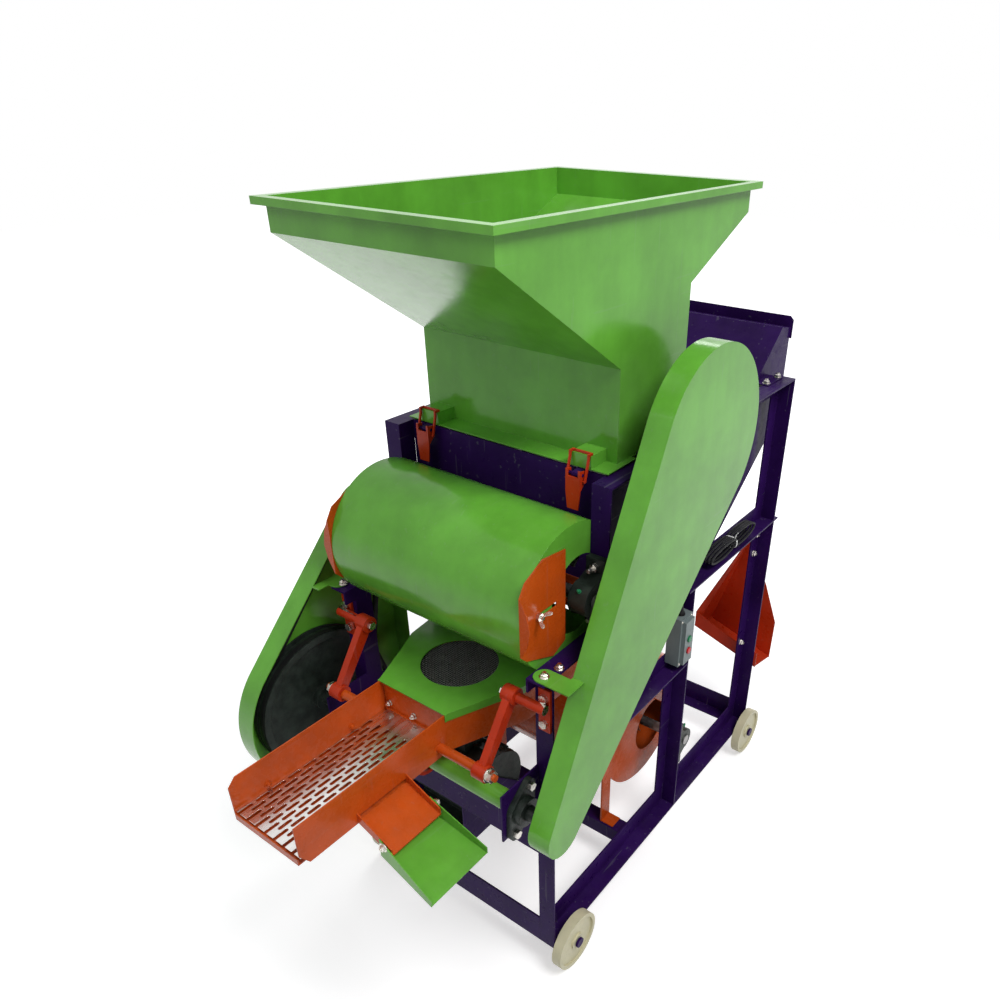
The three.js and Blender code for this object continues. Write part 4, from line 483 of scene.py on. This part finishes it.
# Where nuts begin: over the drum bearing's foot, before or behind the feet of the other two,
# outside the drive bearing's flange, and outside the shutter
DRUM_FOOT, FAN_FOOT, BLOWER_FOOT, FLANGE_FACE, SHUTTER_FACE = 1149.7, 150.3, 543.7, 252.6, 237.5
# The inner ends of the upper pins, the bolts of the rocker bracket, and the sieve's pins
PINS_INSIDE = 180.1
BRACKET_EDGE, BRACKET_FACE, BRACKET_TOP = 247, -6.7, 812
SIEVE_PINS = (208.3, 220.7)


def is_pin_end(x, y, z):
    reach = min(math.hypot(y - pin_y, z - pin_z) for pin_y, pin_z in UPPER_PINS)
    return x < PINS_INSIDE and reach < PIN_END


def is_ear_nut(x, y, z):
    reach = min(math.hypot(y - DRIVE_Y - end * EAR[0], z - DRIVE_Z - end * EAR[1])
                for end in (1, -1))
    return x > FLANGE_FACE and reach < EAR_NUT


def is_bracket_bolt(x, y, z):
    return x > BRACKET_EDGE and y < BRACKET_FACE and z < BRACKET_TOP


def is_stud_nut(x, y, z):
    return x > SHUTTER_FACE and abs(y - STUD_Y) < STUD_NUT and abs(z - STUD_Z) < STUD_NUT


# What is bare, by the distance from the middle of the machine, the depth and the height
BARE = {
    "drum_bearing": lambda x, y, z: z > DRUM_FOOT and abs(y - DRUM_Y) > BEARING_NUTS,
    "fan_bearing": lambda x, y, z: y < FAN_FOOT and abs(z - FAN_Z) > FAN_BEARING_NUTS,
    "blower_bearing": lambda x, y, z: y > BLOWER_FOOT and abs(z - BLOWER_Z) > BEARING_NUTS,
    "drive_bearing": is_ear_nut,
    "rocker_bracket": lambda x, y, z: is_bracket_bolt(x, y, z) or is_pin_end(x, y, z),
    "side_frame": is_pin_end,
    "sieve_box": lambda x, y, z: SIEVE_PINS[0] < x < SIEVE_PINS[1],
    "fan_cover": is_stud_nut,
}
SOFT_EDGES = {"switch_box": 3.0, "start_button": 1.2, "stop_button": 1.2, "motor": 0.8}


def bare_parts(name, mesh):
    is_bare = BARE.get(name.removesuffix("_right").removesuffix("_left"))
    if not is_bare:
        return
    mesh.materials.append(zinc)
    for face in mesh.polygons:
        x, y, z = (c / MM for c in face.center)
        if is_bare(abs(x), y + SHIFT, z):
            face.material_index = 1


def finished(name):
    """A copy of a CAD node that takes its place, with round shapes and its own finish."""
    mesh = nodes[name].data.copy()
    work = bmesh.new()
    work.from_mesh(mesh)
    bmesh.ops.remove_doubles(work, verts=work.verts, dist=SAME_CORNER)
    bmesh.ops.join_triangles(work, faces=work.faces, angle_face_threshold=0.004,
                             angle_shape_threshold=0.5)
    round_off(work)
    settle(work, mesh)
    mesh.materials.clear()
    mesh.materials.append(finishes[slot_of[name]])
    bare_parts(name, mesh)
    piece = placed(name + "_finished", mesh)
    if name in SOFT_EDGES:
        soften(piece, SOFT_EDGES[name])
    even_normals(piece)
    bake(piece)
    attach(piece, body_of[name])
    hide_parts(name)
    return piece


REMADE = {"cable_lead", "cable_hank", "sieve_screen"}
carried = {name: finished(name) for name in nodes if name not in REMADE}
# The rear chute is of a deeper red than the other orange sheet: painted shade, since the chute sits
# in shade and the red stands for its darker look
dress(carried["rear_chute"], finishes["red_enamel"])


# Patterns: what repeats is grown by geometry nodes from a few points and named sizes


class Pattern(Graph):
    """A geometry-nodes tree with named sizes, which is grown over points into a plain mesh."""

    def __init__(self, name, **sizes):
        super().__init__(bpy.data.node_groups.new(name, "GeometryNodeTree"))
        face = self.tree.interface
        self.keys = {}
        face.new_socket("points", in_out="INPUT", socket_type="NodeSocketGeometry")
        kinds = {float: "NodeSocketFloat", int: "NodeSocketInt"}
        for label, value in sizes.items():
            kind = kinds.get(type(value), "NodeSocketMaterial")
            socket = face.new_socket(label, in_out="INPUT", socket_type=kind)
            if value is not None:
                socket.default_value = value
            self.keys[label] = socket.identifier
        face.new_socket("grown", in_out="OUTPUT", socket_type="NodeSocketGeometry")
        self.inputs = self.add("NodeGroupInput").outputs

    def half(self, value):
        return self.times(value, 0.5)

    def vector(self, x=0.0, y=0.0, z=0.0):
        return self.out("ShaderNodeCombineXYZ", {0: x, 1: y, 2: z})

    def place(self):
        return self.split(self.out("GeometryNodeInputPosition"))

    def axis(self):
        """The direction that was given with each point."""
        return self.out("GeometryNodeInputNamedAttribute", {"Name": "axis"},
                        data_type="FLOAT_VECTOR")

    def shifted(self, geometry, vector):
        return self.out("GeometryNodeTransform", {"Geometry": geometry, "Translation": vector})

    def copies(self, points, shape, **choice):
        return self.out("GeometryNodeInstanceOnPoints", {
            "Points": points, "Instance": shape, **choice})

    def real(self, geometry):
        return self.out("GeometryNodeRealizeInstances", {"Geometry": geometry})

    def joined(self, *parts):
        made = self.add("GeometryNodeJoinGeometry")
        for part in parts:
            self.link(part, made.inputs[0])
        return made.outputs[0]

    def end(self, geometry):
        painted = self.out("GeometryNodeSetMaterial", {
            "Geometry": self.real(geometry), "Material": self.inputs["finish"]})
        self.link(painted, self.add("NodeGroupOutput").inputs[0])

    def grow(self, name, points, body, slot, axes=None, **sizes):
        """The tree's result over the points, as a plain mesh that rides on a body."""
        base = bpy.data.meshes.new(name + "_points")
        base.from_pydata([tuple(p) for p in points], [], [])
        if axes:
            held = base.attributes.new("axis", "FLOAT_VECTOR", "POINT")
            for item, axis in zip(held.data, axes):
                item.vector = axis
        piece = placed(name, base)
        growth = piece.modifiers.new("growth", "NODES")
        growth.node_group = self.tree
        for label, value in sizes.items():
            growth[self.keys[label]] = value
        bake(piece)
        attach(piece, body)
        return piece


# The top quarter of a fastener's head narrows to this share of its width
HEAD_PRISM, HEAD_CROWN, CROWN_SHARE = 0.75, 0.25, 0.72
WASHER_SIDES, STUD_SIDES = 20, 12


def fastener_pattern():
    """A washer, a head of so many sides with a chamfer, and the end of the bolt over it."""
    made = Pattern("fastener", washer=0.009, washer_thickness=0.0015, head=0.0075,
                   head_height=0.006, head_sides=6, stud=0.004, stud_length=0.003, finish=None)
    size = made.inputs

    def disc(sides, radius, depth, foot):
        shape = made.out("GeometryNodeMeshCylinder", {
            "Vertices": sides, "Radius": radius, "Depth": depth})
        return made.shifted(shape, made.vector(z=made.plus(foot, made.half(depth))))

    face = size["washer_thickness"]
    prism_height = made.times(size["head_height"], HEAD_PRISM)
    washer = disc(WASHER_SIDES, size["washer"], face, 0.0)
    head = disc(size["head_sides"], size["head"], prism_height, face)
    crown = made.out("GeometryNodeMeshCone", {
        "Vertices": size["head_sides"], "Radius Bottom": size["head"],
        "Radius Top": made.times(size["head"], CROWN_SHARE),
        "Depth": made.times(size["head_height"], HEAD_CROWN)})
    crown = made.shifted(crown, made.vector(z=made.plus(face, prism_height)))
    top = made.plus(face, size["head_height"])
    stud = disc(STUD_SIDES, size["stud"], size["stud_length"], top)
    turn = made.out("FunctionNodeAlignRotationToVector", {"Vector": made.axis()}, axis="Z")
    whole = made.joined(washer, head, crown, stud)
    made.end(made.copies(size["points"], whole, Rotation=turn))
    return made


def search_tree(node):
    corners = [node.matrix_world @ v.co for v in node.data.vertices]
    return BVHTree.FromPolygons(corners, [tuple(p.vertices) for p in node.data.polygons])


trees = [search_tree(node) for node in nodes.values()]
fastener = fastener_pattern()
SEARCH = 15


def seat(x, y, z, axis):
    """Where a fastener that looks along the axis meets the metal under it."""
    away = Vector(axis).normalized()
    start = at(x, y, z) + away * SEARCH * MM
    hits = [tree.ray_cast(start, -away, 2 * SEARCH * MM) for tree in trees]
    hits = [hit for hit in hits if hit[0] is not None]
    if not hits:
        raise ValueError(f"nothing carries the fastener at {x}, {y}, {z}")
    return min(hits, key=lambda hit: hit[3])[0]


def bolts(name, body, spots, finish=zinc, slot="steel", seated=True, **sizes):
    """Fasteners set down on what carries them. A spot is a place and the way it looks."""
    points = [seat(*place, axis) if seated else at(*place) for place, axis in spots]
    sizes = {key: value if key == "head_sides" else value * MM for key, value in sizes.items()}
    axes = [axis for _, axis in spots]
    return fastener.grow(name, points, body, slot, axes, finish=finish, **sizes)


UP, FRONT, REAR, RIGHT = (0, 0, 1), (0, -1, 0), (0, 1, 0), (1, 0, 0)


def both_sides(spots):
    return [((side * x, y, z), (side * axis[0], axis[1], axis[2]))
            for side in (1, -1) for (x, y, z), axis in spots]


# On the top rails beside the duct, on the shelf rails, and on the walls of the rear posts
bolts("frame_bolts", "frame", both_sides([
    ((239, 867, 1140), UP), ((239, 929, 1140), UP),
    ((262, -6, 838), UP), ((266, 32, 836), UP),
    ((242, 930, 716), RIGHT), ((242, 930, 660), RIGHT), ((242, 928, 372), RIGHT),
]) + [((262, 553, 1140), UP)], washer=9.5, head=7.5, head_height=6)
# On the rear of the right post, above the rear chute
bolts("chute_bolts", "frame", [((257, 954, 700), REAR), ((257, 954, 668), REAR)],
      washer=8, head=6.5, head_height=5)
bolts("switch_box_screws", "frame",
      [((286, y, z), RIGHT) for y in (479.5, 520) for z in (579, 693)],
      washer=3.4, washer_thickness=0.5, head=2.8, head_height=1.6, head_sides=14, stud=0.8,
      stud_length=0.2)
# On the bulkhead behind the screen, and along the inside of the tray's left wall
bolts("tray_bolts", "sieve", [((x, -77.5, 662), FRONT) for x in (-74, -6)],
      washer=7, head=5.6, head_height=6, head_sides=14, stud=3)
bolts("tray_side_bolts", "sieve", [((-85.5, y, 656), RIGHT) for y in (-357, -167)],
      finishes["orange_enamel"], "orange_enamel", washer=7.5, head=5, head_height=3.5,
      head_sides=12, stud=2)
bolts("chute_pin_nuts", "sieve", [((152, -310.7, 613), FRONT), ((152, -187.3, 613), REAR)],
      seated=False, washer=9, head=6.6, head_height=5.5, stud=3, stud_length=2)
bolts("grease_nipples", "frame", both_sides([
    ((256, FAN_Y - 24, FAN_Z + 24), (0, -0.7, 0.7)),
    ((256, DRUM_Y - 14, DRUM_Z + 26), (0, -0.4, 0.9)),
    ((256, BLOWER_Y + 20, BLOWER_Z + 20), (0, 0.7, 0.7)),
]), finishes["start_green"], "start_green", washer=4.2, washer_thickness=1, head=3.2,
      head_height=6, head_sides=10, stud=1.5, stud_length=2)


# The punched screen in the tray

SCREEN_FRONT, SCREEN_REAR, SCREEN_HALF, SCREEN_Z, SCREEN_SHEET = -423.2, -77.8, 85.2, 644, 1.5
SLOT_ROWS, ROW_PITCH, SLOT_PITCH = 14, 12, 34
SLOT_LENGTH, OPEN_LENGTH, SLOT_WIDTH = 28, 46, 7
SLOT_OVERHANG, BLANK_REAR = 0.3, 34
CORNER_SHARE, CORNER_CUTS, WELD = 0.499, 3, 0.00001


def screen_pattern():
    """A plate with round-ended slots; those marked open run out over its front edge."""
    made = Pattern("punched_screen", half_width=0.085, front=0.0, rear=0.3, slot_length=0.028,
                   slot_width=0.007, open_length=0.045, thickness=0.0015, finish=None)
    size = made.inputs

    def sheet_outline(width, height):
        return made.out("GeometryNodeCurvePrimitiveQuadrilateral", {
            "Width": width, "Height": height})

    def slot_outline(length):
        corner = made.times(size["slot_width"], CORNER_SHARE)
        return made.out("GeometryNodeFilletCurve", {
            "Curve": sheet_outline(size["slot_width"], length), "Count": CORNER_CUTS,
            "Radius": corner}, mode="POLY")

    mark = made.split(made.axis())[0]
    is_open = made.math("GREATER_THAN", mark, 0.5)
    is_whole = made.math("LESS_THAN", is_open, 0.5)
    whole = made.copies(size["points"], slot_outline(size["slot_length"]), Selection=is_whole)
    opened = made.copies(size["points"], slot_outline(size["open_length"]), Selection=is_open)
    slots = made.real(made.joined(whole, opened))
    plate = sheet_outline(made.times(size["half_width"], 2.0),
                          made.math("SUBTRACT", size["rear"], size["front"]))
    plate = made.shifted(plate, made.vector(y=made.half(made.plus(size["rear"], size["front"]))))
    sheet = made.out("GeometryNodeFillCurve", {"Curve": made.joined(plate, slots)},
                     mode="TRIANGLES")
    beyond = made.math("LESS_THAN", made.place()[1], size["front"])
    sheet = made.out("GeometryNodeDeleteGeometry", {"Geometry": sheet, "Selection": beyond},
                     domain="FACE")
    raised = made.out("GeometryNodeExtrudeMesh", {
        "Mesh": sheet, "Offset Scale": size["thickness"], "Individual": False}, mode="FACES")
    under = made.out("GeometryNodeFlipFaces", {"Mesh": sheet})
    made.end(made.out("GeometryNodeMergeByDistance", {
        "Geometry": made.joined(raised, under), "Distance": WELD}))
    return made


def slotted_screen():
    """Staggered rows of slots, every second row open at the front, and a blank band behind."""
    points, marks = [], []
    for row in range(SLOT_ROWS):
        x = (row - (SLOT_ROWS - 1) / 2) * ROW_PITCH
        first = row % 2 == 0
        y = SCREEN_FRONT - SLOT_OVERHANG + SLOT_LENGTH / 2 + (0 if first else SLOT_PITCH / 2)
        while y + SLOT_LENGTH / 2 < SCREEN_REAR - BLANK_REAR:
            middle = y - (OPEN_LENGTH - SLOT_LENGTH) / 2 if first else y
            points.append(at(x, middle, 0))
            marks.append((1.0 if first else 0.0, 0, 0))
            first = False
            y += SLOT_PITCH
    piece = screen_pattern().grow(
        "punched_screen", points, "sieve", "screen_steel", marks, half_width=SCREEN_HALF * MM,
        front=(SCREEN_FRONT - SHIFT) * MM, rear=(SCREEN_REAR - SHIFT) * MM,
        slot_length=SLOT_LENGTH * MM, slot_width=SLOT_WIDTH * MM, open_length=OPEN_LENGTH * MM,
        thickness=SCREEN_SHEET * MM, finish=finishes["screen_steel"])
    piece.data.transform(Matrix.Translation((0, 0, SCREEN_Z * MM)))
    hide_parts("sieve_screen")


slotted_screen()


# The mesh in the cover's window, and a black disc under it that is painted shade, for the dark
# inside behind the mesh

WINDOW_RADIUS, WINDOW_SIDES, MESH_Z, SHADE_DISC_Z, SHADE_DISC_DEPTH = 84, 48, 714.3, 710, 1.2
WIRE, WIRE_SIDES, WIRE_PITCH, WIRE_WAVE, WIRES = 0.5, 5, 4.8, 0.45, 17


def mesh_pattern():
    """Woven wire over a round window: each wire runs over one crossing and under the next."""
    made = Pattern("woven_wire", radius=0.08, pitch=0.005, wires=16, wire=0.0005, wave=0.0005,
                   finish=None)
    size = made.inputs
    count = made.plus(made.times(size["wires"], 2.0), 1.0)
    start = made.times(made.times(size["wires"], size["pitch"]), -1.0)
    line = made.out("GeometryNodeMeshLine", {
        "Count": count, "Start Location": made.vector(y=start),
        "Offset": made.vector(y=size["pitch"])}, mode="OFFSET")
    place = made.place()
    inside = made.math("SUBTRACT", made.math("POWER", size["radius"], 2.0),
                       made.math("POWER", place[1], 2.0))
    chord = made.vector(made.math("SQRT", inside), 1.0, 1.0)
    unit = made.out("GeometryNodeCurvePrimitiveLine", {"Start": (-1, 0, 0), "End": (1, 0, 0)})
    wires = made.real(made.copies(line, unit, Scale=chord))
    wires = made.out("GeometryNodeResampleCurve", {
        "Curve": wires, "Length": made.times(size["pitch"], 0.25)}, mode="LENGTH")
    crossing = made.out("GeometryNodeTransform", {
        "Geometry": wires, "Rotation": (0, 0, math.pi / 2)})
    waves = [made.math("COSINE", made.math("DIVIDE", made.times(place[k], math.pi),
                                           size["pitch"])) for k in (0, 1)]
    lift = made.times(made.times(*waves), size["wave"])
    over = made.out("GeometryNodeSetPosition", {
        "Geometry": wires, "Offset": made.vector(z=lift)})
    under = made.out("GeometryNodeSetPosition", {
        "Geometry": crossing, "Offset": made.vector(z=made.times(lift, -1.0))})
    profile = made.out("GeometryNodeCurvePrimitiveCircle", {
        "Resolution": WIRE_SIDES, "Radius": size["wire"]})
    made.end(made.out("GeometryNodeCurveToMesh", {
        "Curve": made.joined(over, under), "Profile Curve": profile, "Fill Caps": True}))
    return made


def window_mesh():
    piece = mesh_pattern().grow(
        "window_wire", [(0, 0, 0)], "sieve", "steel", radius=WINDOW_RADIUS * MM,
        pitch=WIRE_PITCH * MM, wires=WIRES, wire=WIRE * MM, wave=WIRE_WAVE * MM,
        finish=dark_wire)
    piece.data.transform(Matrix.Translation(at(0, WINDOW_Y, MESH_Z)))
    for face in piece.data.polygons:
        face.use_smooth = True
    work = bmesh.new()
    # A thin black disc under the mesh, painted shade for the dark inside of the machine
    bmesh.ops.create_cone(
        work, cap_ends=True, segments=WINDOW_SIDES, radius1=WINDOW_RADIUS * MM,
        radius2=WINDOW_RADIUS * MM, depth=SHADE_DISC_DEPTH * MM,
        matrix=Matrix.Translation(at(0, WINDOW_Y, SHADE_DISC_Z)))
    fit(shaped("window_painted_shade", work), painted_shade, "sieve")


window_mesh()


# Wing nuts on the shutters

WING_LEAN, WING_SHEET, WING_EDGE = math.radians(35), 2.2, 0.6
# The outline of a wing: how far out from the stud, and how far from the middle of the machine
WING = ((2, 242.6), (7.5, 243.2), (13, 249), (17, 254), (16.6, 258.5), (13, 260), (9.5, 257),
        (6, 250.5), (2, 248.8))


def prism(work, outline, thickness):
    """A plate from a closed outline of points, thickened both ways along its normal."""
    normal = (outline[1] - outline[0]).cross(outline[2] - outline[0]).normalized() * thickness / 2
    low = [work.verts.new(p - normal) for p in outline]
    high = [work.verts.new(p + normal) for p in outline]
    work.faces.new(list(reversed(low)))
    work.faces.new(high)
    for i in range(len(outline)):
        j = (i + 1) % len(outline)
        work.faces.new((low[i], low[j], high[j], high[i]))


def wing_nut(name, side):
    """Two wings on the nut that holds a shutter."""
    work = bmesh.new()
    for way in (1, -1):
        prism(work, [at(side * x, STUD_Y + way * out * math.cos(WING_LEAN),
                        STUD_Z + way * out * math.sin(WING_LEAN)) for out, x in WING],
              WING_SHEET * MM)
    bmesh.ops.recalc_face_normals(work, faces=work.faces)
    piece = shaped(name, work)
    soften(piece, WING_EDGE)
    bake(piece)
    fit(piece, zinc, "frame")


wing_nut("wing_nut_right", 1)
wing_nut("wing_nut_left", -1)


# Cable: the lead out of the switch box, and the hank on the upper rail

CABLE_RADIUS, CABLE_SIDES = 3, 12
HANK_LOOPS, HANK_LENGTH, HANK_HEIGHT, HANK_WAIST, HANK_PITCH = 3.25, 236, 46, 0.42, 8.4
RAIL_FRONT, RAIL_BOTTOM, RAIL_WALL = 503, 757, 4
HANK_X, HANK_Y = 244.5, 728
HANK_Z = RAIL_BOTTOM + RAIL_WALL + GAP + CABLE_RADIUS + HANK_HEIGHT / 2
GLAND_X, GLAND_Z = 258.5, 700.3
# Straight up out of the gland, round the front end of the rail, and back towards the hank
LEAD_WAY = (
    (GLAND_X, BOX_Y, GLAND_Z), (GLAND_X, BOX_Y, 718), (GLAND_X, RAIL_FRONT - 12, RAIL_BOTTOM),
    ((GLAND_X + HANK_X) / 2, RAIL_FRONT + 12, 799),
    (HANK_X, (RAIL_FRONT + HANK_Y - HANK_LENGTH / 2) / 2, 790),
)
# The lead comes in along the hank's own line, and its last point lies just before the hank's first
JOINT_STEP, JOINT_RUN = 0.6, 4 * CABLE_RADIUS
LEAD_STEPS, TURN_STEPS, FINE_STEPS, HANK_STEPS = 60, 60, 40, 24


def through(points, count):
    """Even points on a centripetal curve through the given ones."""
    ends = [2 * points[0] - points[1]] + points + [2 * points[-1] - points[-2]]
    fine = []
    for i in range(1, len(ends) - 2):
        near = ends[i - 1:i + 3]
        knots = [0.0]
        for a, b in zip(near, near[1:]):
            knots.append(knots[-1] + math.sqrt((b - a).length))
        for k in range(FINE_STEPS):
            t = knots[1] + (knots[2] - knots[1]) * k / FINE_STEPS
            level = list(near)
            for step in (1, 2, 3):
                level = [level[j] * ((knots[j + step] - t) / (knots[j + step] - knots[j]))
                         + level[j + 1] * ((t - knots[j]) / (knots[j + step] - knots[j]))
                         for j in range(len(level) - 1)]
            fine.append(level[0])
    fine.append(points[-1])
    lengths = [0.0]
    for a, b in zip(fine, fine[1:]):
        lengths.append(lengths[-1] + (b - a).length)
    even, k = [], 0
    for i in range(count + 1):
        want = lengths[-1] * i / count
        while k < len(fine) - 2 and lengths[k + 1] < want:
            k += 1
        share = (want - lengths[k]) / (lengths[k + 1] - lengths[k])
        even.append(fine[k].lerp(fine[k + 1], min(1.0, share)))
    return even


def hank_point(turn):
    """The middle of the cable after so many turns of a long hank that is drawn in at its waist."""
    angle = 2 * math.pi * turn
    lobe = HANK_WAIST + (1 - HANK_WAIST) * math.sqrt(abs(math.cos(angle)))
    return at(HANK_X + HANK_PITCH * turn, HANK_Y - HANK_LENGTH / 2 * math.cos(angle),
              HANK_Z + HANK_HEIGHT / 2 * math.sin(angle) * lobe)


def lead_points():
    start = hank_point(0)
    away = (start - hank_point(1 / HANK_STEPS)).normalized()
    joint = start + away * JOINT_STEP * MM
    return [at(*place) for place in LEAD_WAY] + [joint + away * JOINT_RUN * MM, joint]


def tube(name, path, radii, sides=CABLE_SIDES):
    """A closed tube along a path, with a radius for each of its points."""
    work = bmesh.new()
    rings = []
    for i, (point, radius) in enumerate(zip(path, radii)):
        along = (path[min(i + 1, len(path) - 1)] - path[max(i - 1, 0)]).normalized()
        side = (Vector((1, 0, 0)) - along * along.x).normalized()
        up = along.cross(side)
        rings.append([work.verts.new(point + radius * (math.cos(a) * side + math.sin(a) * up))
                      for a in (2 * math.pi * k / sides for k in range(sides))])
    for ring, after in zip(rings, rings[1:]):
        for k in range(sides):
            m = (k + 1) % sides
            work.faces.new((ring[k], ring[m], after[m], after[k]))
    work.faces.new(list(reversed(rings[0])))
    work.faces.new(rings[-1])
    bmesh.ops.recalc_face_normals(work, faces=work.faces)
    mesh = bpy.data.meshes.new(name)
    settle(work, mesh)
    return placed(name, mesh)


def lay_cable():
    path = through(lead_points(), LEAD_STEPS)
    path += [hank_point(i / TURN_STEPS) for i in range(int(HANK_LOOPS * TURN_STEPS) + 1)]
    cable = tube("cable", path, [CABLE_RADIUS * MM] * len(path))
    fit(cable, finishes["rubber"], "frame")
    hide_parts("cable_lead", "cable_hank")


lay_cable()

RELIEF_STEPS, RELIEF_RINGS, RELIEF_SIDES = 30, 18, 16
RELIEF_FOOT, RELIEF_TAPER, RELIEF_RIB, RIB_EVERY = 7.4, 3.4, 0.5, 3
NUT_FOOT = 700.1


def strain_relief():
    """A ribbed sleeve that tapers off over the first stretch of the lead, in a nut at its foot."""
    path = through(lead_points()[:3], RELIEF_STEPS)[:RELIEF_RINGS]
    radii = [(RELIEF_FOOT - RELIEF_TAPER * i / (RELIEF_RINGS - 1)
              + (RELIEF_RIB if i % RIB_EVERY == 0 else 0.0)) * MM for i in range(RELIEF_RINGS)]
    relief = tube("strain_relief", path, radii, RELIEF_SIDES)
    fit(relief, finishes["rubber"], "frame")
    bolts("gland_nut", "frame", [((GLAND_X, BOX_Y, NUT_FOOT), UP)], finishes["rubber"], "rubber",
          seated=False, washer=11, washer_thickness=1.5, head=10, head_height=5, stud=7,
          stud_length=0.5)


strain_relief()

TIE_STEPS, TIE_SHEET, TIE_HALF, TIE_HALF_HEIGHT = 40, 0.7, 2.2, 13.6
TIE_LEFT, TIE_RIGHT = 240.4, HANK_X + HANK_PITCH * HANK_LOOPS + 4.2
# The tie's tail, from the right and the top of its loop
TIE_TAIL = ((-8, 0), (-5, 9), (-1, 15), (0, 14.4), (-3.6, 8.4), (-5.6, 0))


def hank_tie():
    """A plastic strip drawn round the waist of the hank, with its tail standing up."""
    middle, reach = (TIE_LEFT + TIE_RIGHT) / 2, (TIE_RIGHT - TIE_LEFT) / 2
    corners = ((0, -TIE_HALF), (0, TIE_HALF), (TIE_SHEET, TIE_HALF), (TIE_SHEET, -TIE_HALF))
    work = bmesh.new()
    rings = []
    for k in range(TIE_STEPS):
        angle = 2 * math.pi * k / TIE_STEPS
        c, s = math.cos(angle), math.sin(angle)
        shape = (abs(c) ** 3 + abs(s) ** 3) ** (-1 / 3)
        rings.append([work.verts.new(at(middle + (reach - TIE_SHEET + grow) * c * shape,
                                        HANK_Y + y,
                                        HANK_Z + (TIE_HALF_HEIGHT + grow) * s * shape))
                      for grow, y in corners])
    for ring, after in zip(rings, rings[1:] + rings[:1]):
        for k in range(len(ring)):
            m = (k + 1) % len(ring)
            work.faces.new((ring[k], ring[m], after[m], after[k]))
    top = HANK_Z + TIE_HALF_HEIGHT
    prism(work, [at(TIE_RIGHT + x, HANK_Y, top + z) for x, z in TIE_TAIL], 2 * TIE_HALF * MM)
    bmesh.ops.recalc_face_normals(work, faces=work.faces)
    fit(shaped("hank_tie", work), white_tie, "frame")


hank_tie()


# Floor, lamps and world

WHITE = (1.0, 1.0, 1.0, 1.0)
SKY = (0.9, 0.92, 0.95, 1.0)
SKY_STRENGTH = 0.42
FLOOR_DARK, FLOOR_LIGHT = (0.74, 0.74, 0.74, 1.0), (0.77, 0.77, 0.77, 1.0)
FLOOR_REACH, FLOOR_Z = 12.0, -0.001
# How far from the middle the floor's glow begins to grow and where it is full, in metres
FADE_FROM, FADE_TO, GLOW_NEAR, GLOW_FAR = 0.9, 2.4, 0.5, 1.0


def seen_ray(graph):
    """One for the camera's rays and for what gloss, metal and glass show."""
    path = graph.add("ShaderNodeLightPath").outputs
    first = graph.math("MAXIMUM", path["Is Camera Ray"], path["Is Glossy Ray"])
    return graph.math("MAXIMUM", first, path["Is Transmission Ray"])


def make_floor():
    """A pale floor that keeps its shadow close by and fades into the white backdrop further out."""
    mesh = bpy.data.meshes.new("floor")
    corners = [(x * FLOOR_REACH, y * FLOOR_REACH, FLOOR_Z)
               for x, y in ((-1, -1), (1, -1), (1, 1), (-1, 1))]
    mesh.from_pydata(corners, [], [(0, 1, 2, 3)])
    floor = placed("floor", mesh)
    made = Finish("white_floor", 0.8, specular=0.0)
    made.colour(made.mix(made.noise(2.5, 3), FLOOR_DARK, FLOOR_LIGHT))
    made.shader.inputs["Emission Color"].default_value = WHITE
    away = made.add("ShaderNodeVectorMath", {0: made.coordinates}, operation="LENGTH")
    glow = made.ramp(away.outputs["Value"], FADE_FROM, FADE_TO, GLOW_NEAR, GLOW_FAR)
    made.link(made.times(seen_ray(made), glow), made.shader.inputs["Emission Strength"])
    mesh.materials.append(made.material)


def lamp(name, place, target, power, size):
    data = bpy.data.lights.new(name, "AREA")
    data.shape = "DISK"
    data.size = size
    data.energy = power
    light = bpy.data.objects.new(name, data)
    light.location = place
    light.rotation_euler = (Vector(target) - Vector(place)).to_track_quat("-Z", "Y").to_euler()
    bpy.context.collection.objects.link(light)


def make_world():
    world = bpy.data.worlds.new("studio")
    bpy.context.scene.world = world
    world.use_nodes = True
    graph = Graph(world.node_tree)
    back = world.node_tree.nodes["Background"]
    seen = seen_ray(graph)
    graph.link(graph.mix(seen, SKY, WHITE), back.inputs["Color"])
    graph.link(graph.ramp(seen, 0.0, 1.0, SKY_STRENGTH, 1.0), back.inputs["Strength"])


make_floor()
lamp("key", (2.2, -0.5, 4.0), target=(0, 0, 0.8), power=100, size=1.6)
lamp("back", (-1.4, 2.6, 3.4), target=(0, 0, 0.9), power=50, size=2.0)
lamp("front_fill", (-0.6, -2.4, 3.6), target=(0, -0.4, 0.7), power=18, size=1.6)
make_world()

bpy.context.scene.view_settings.view_transform = "Standard"
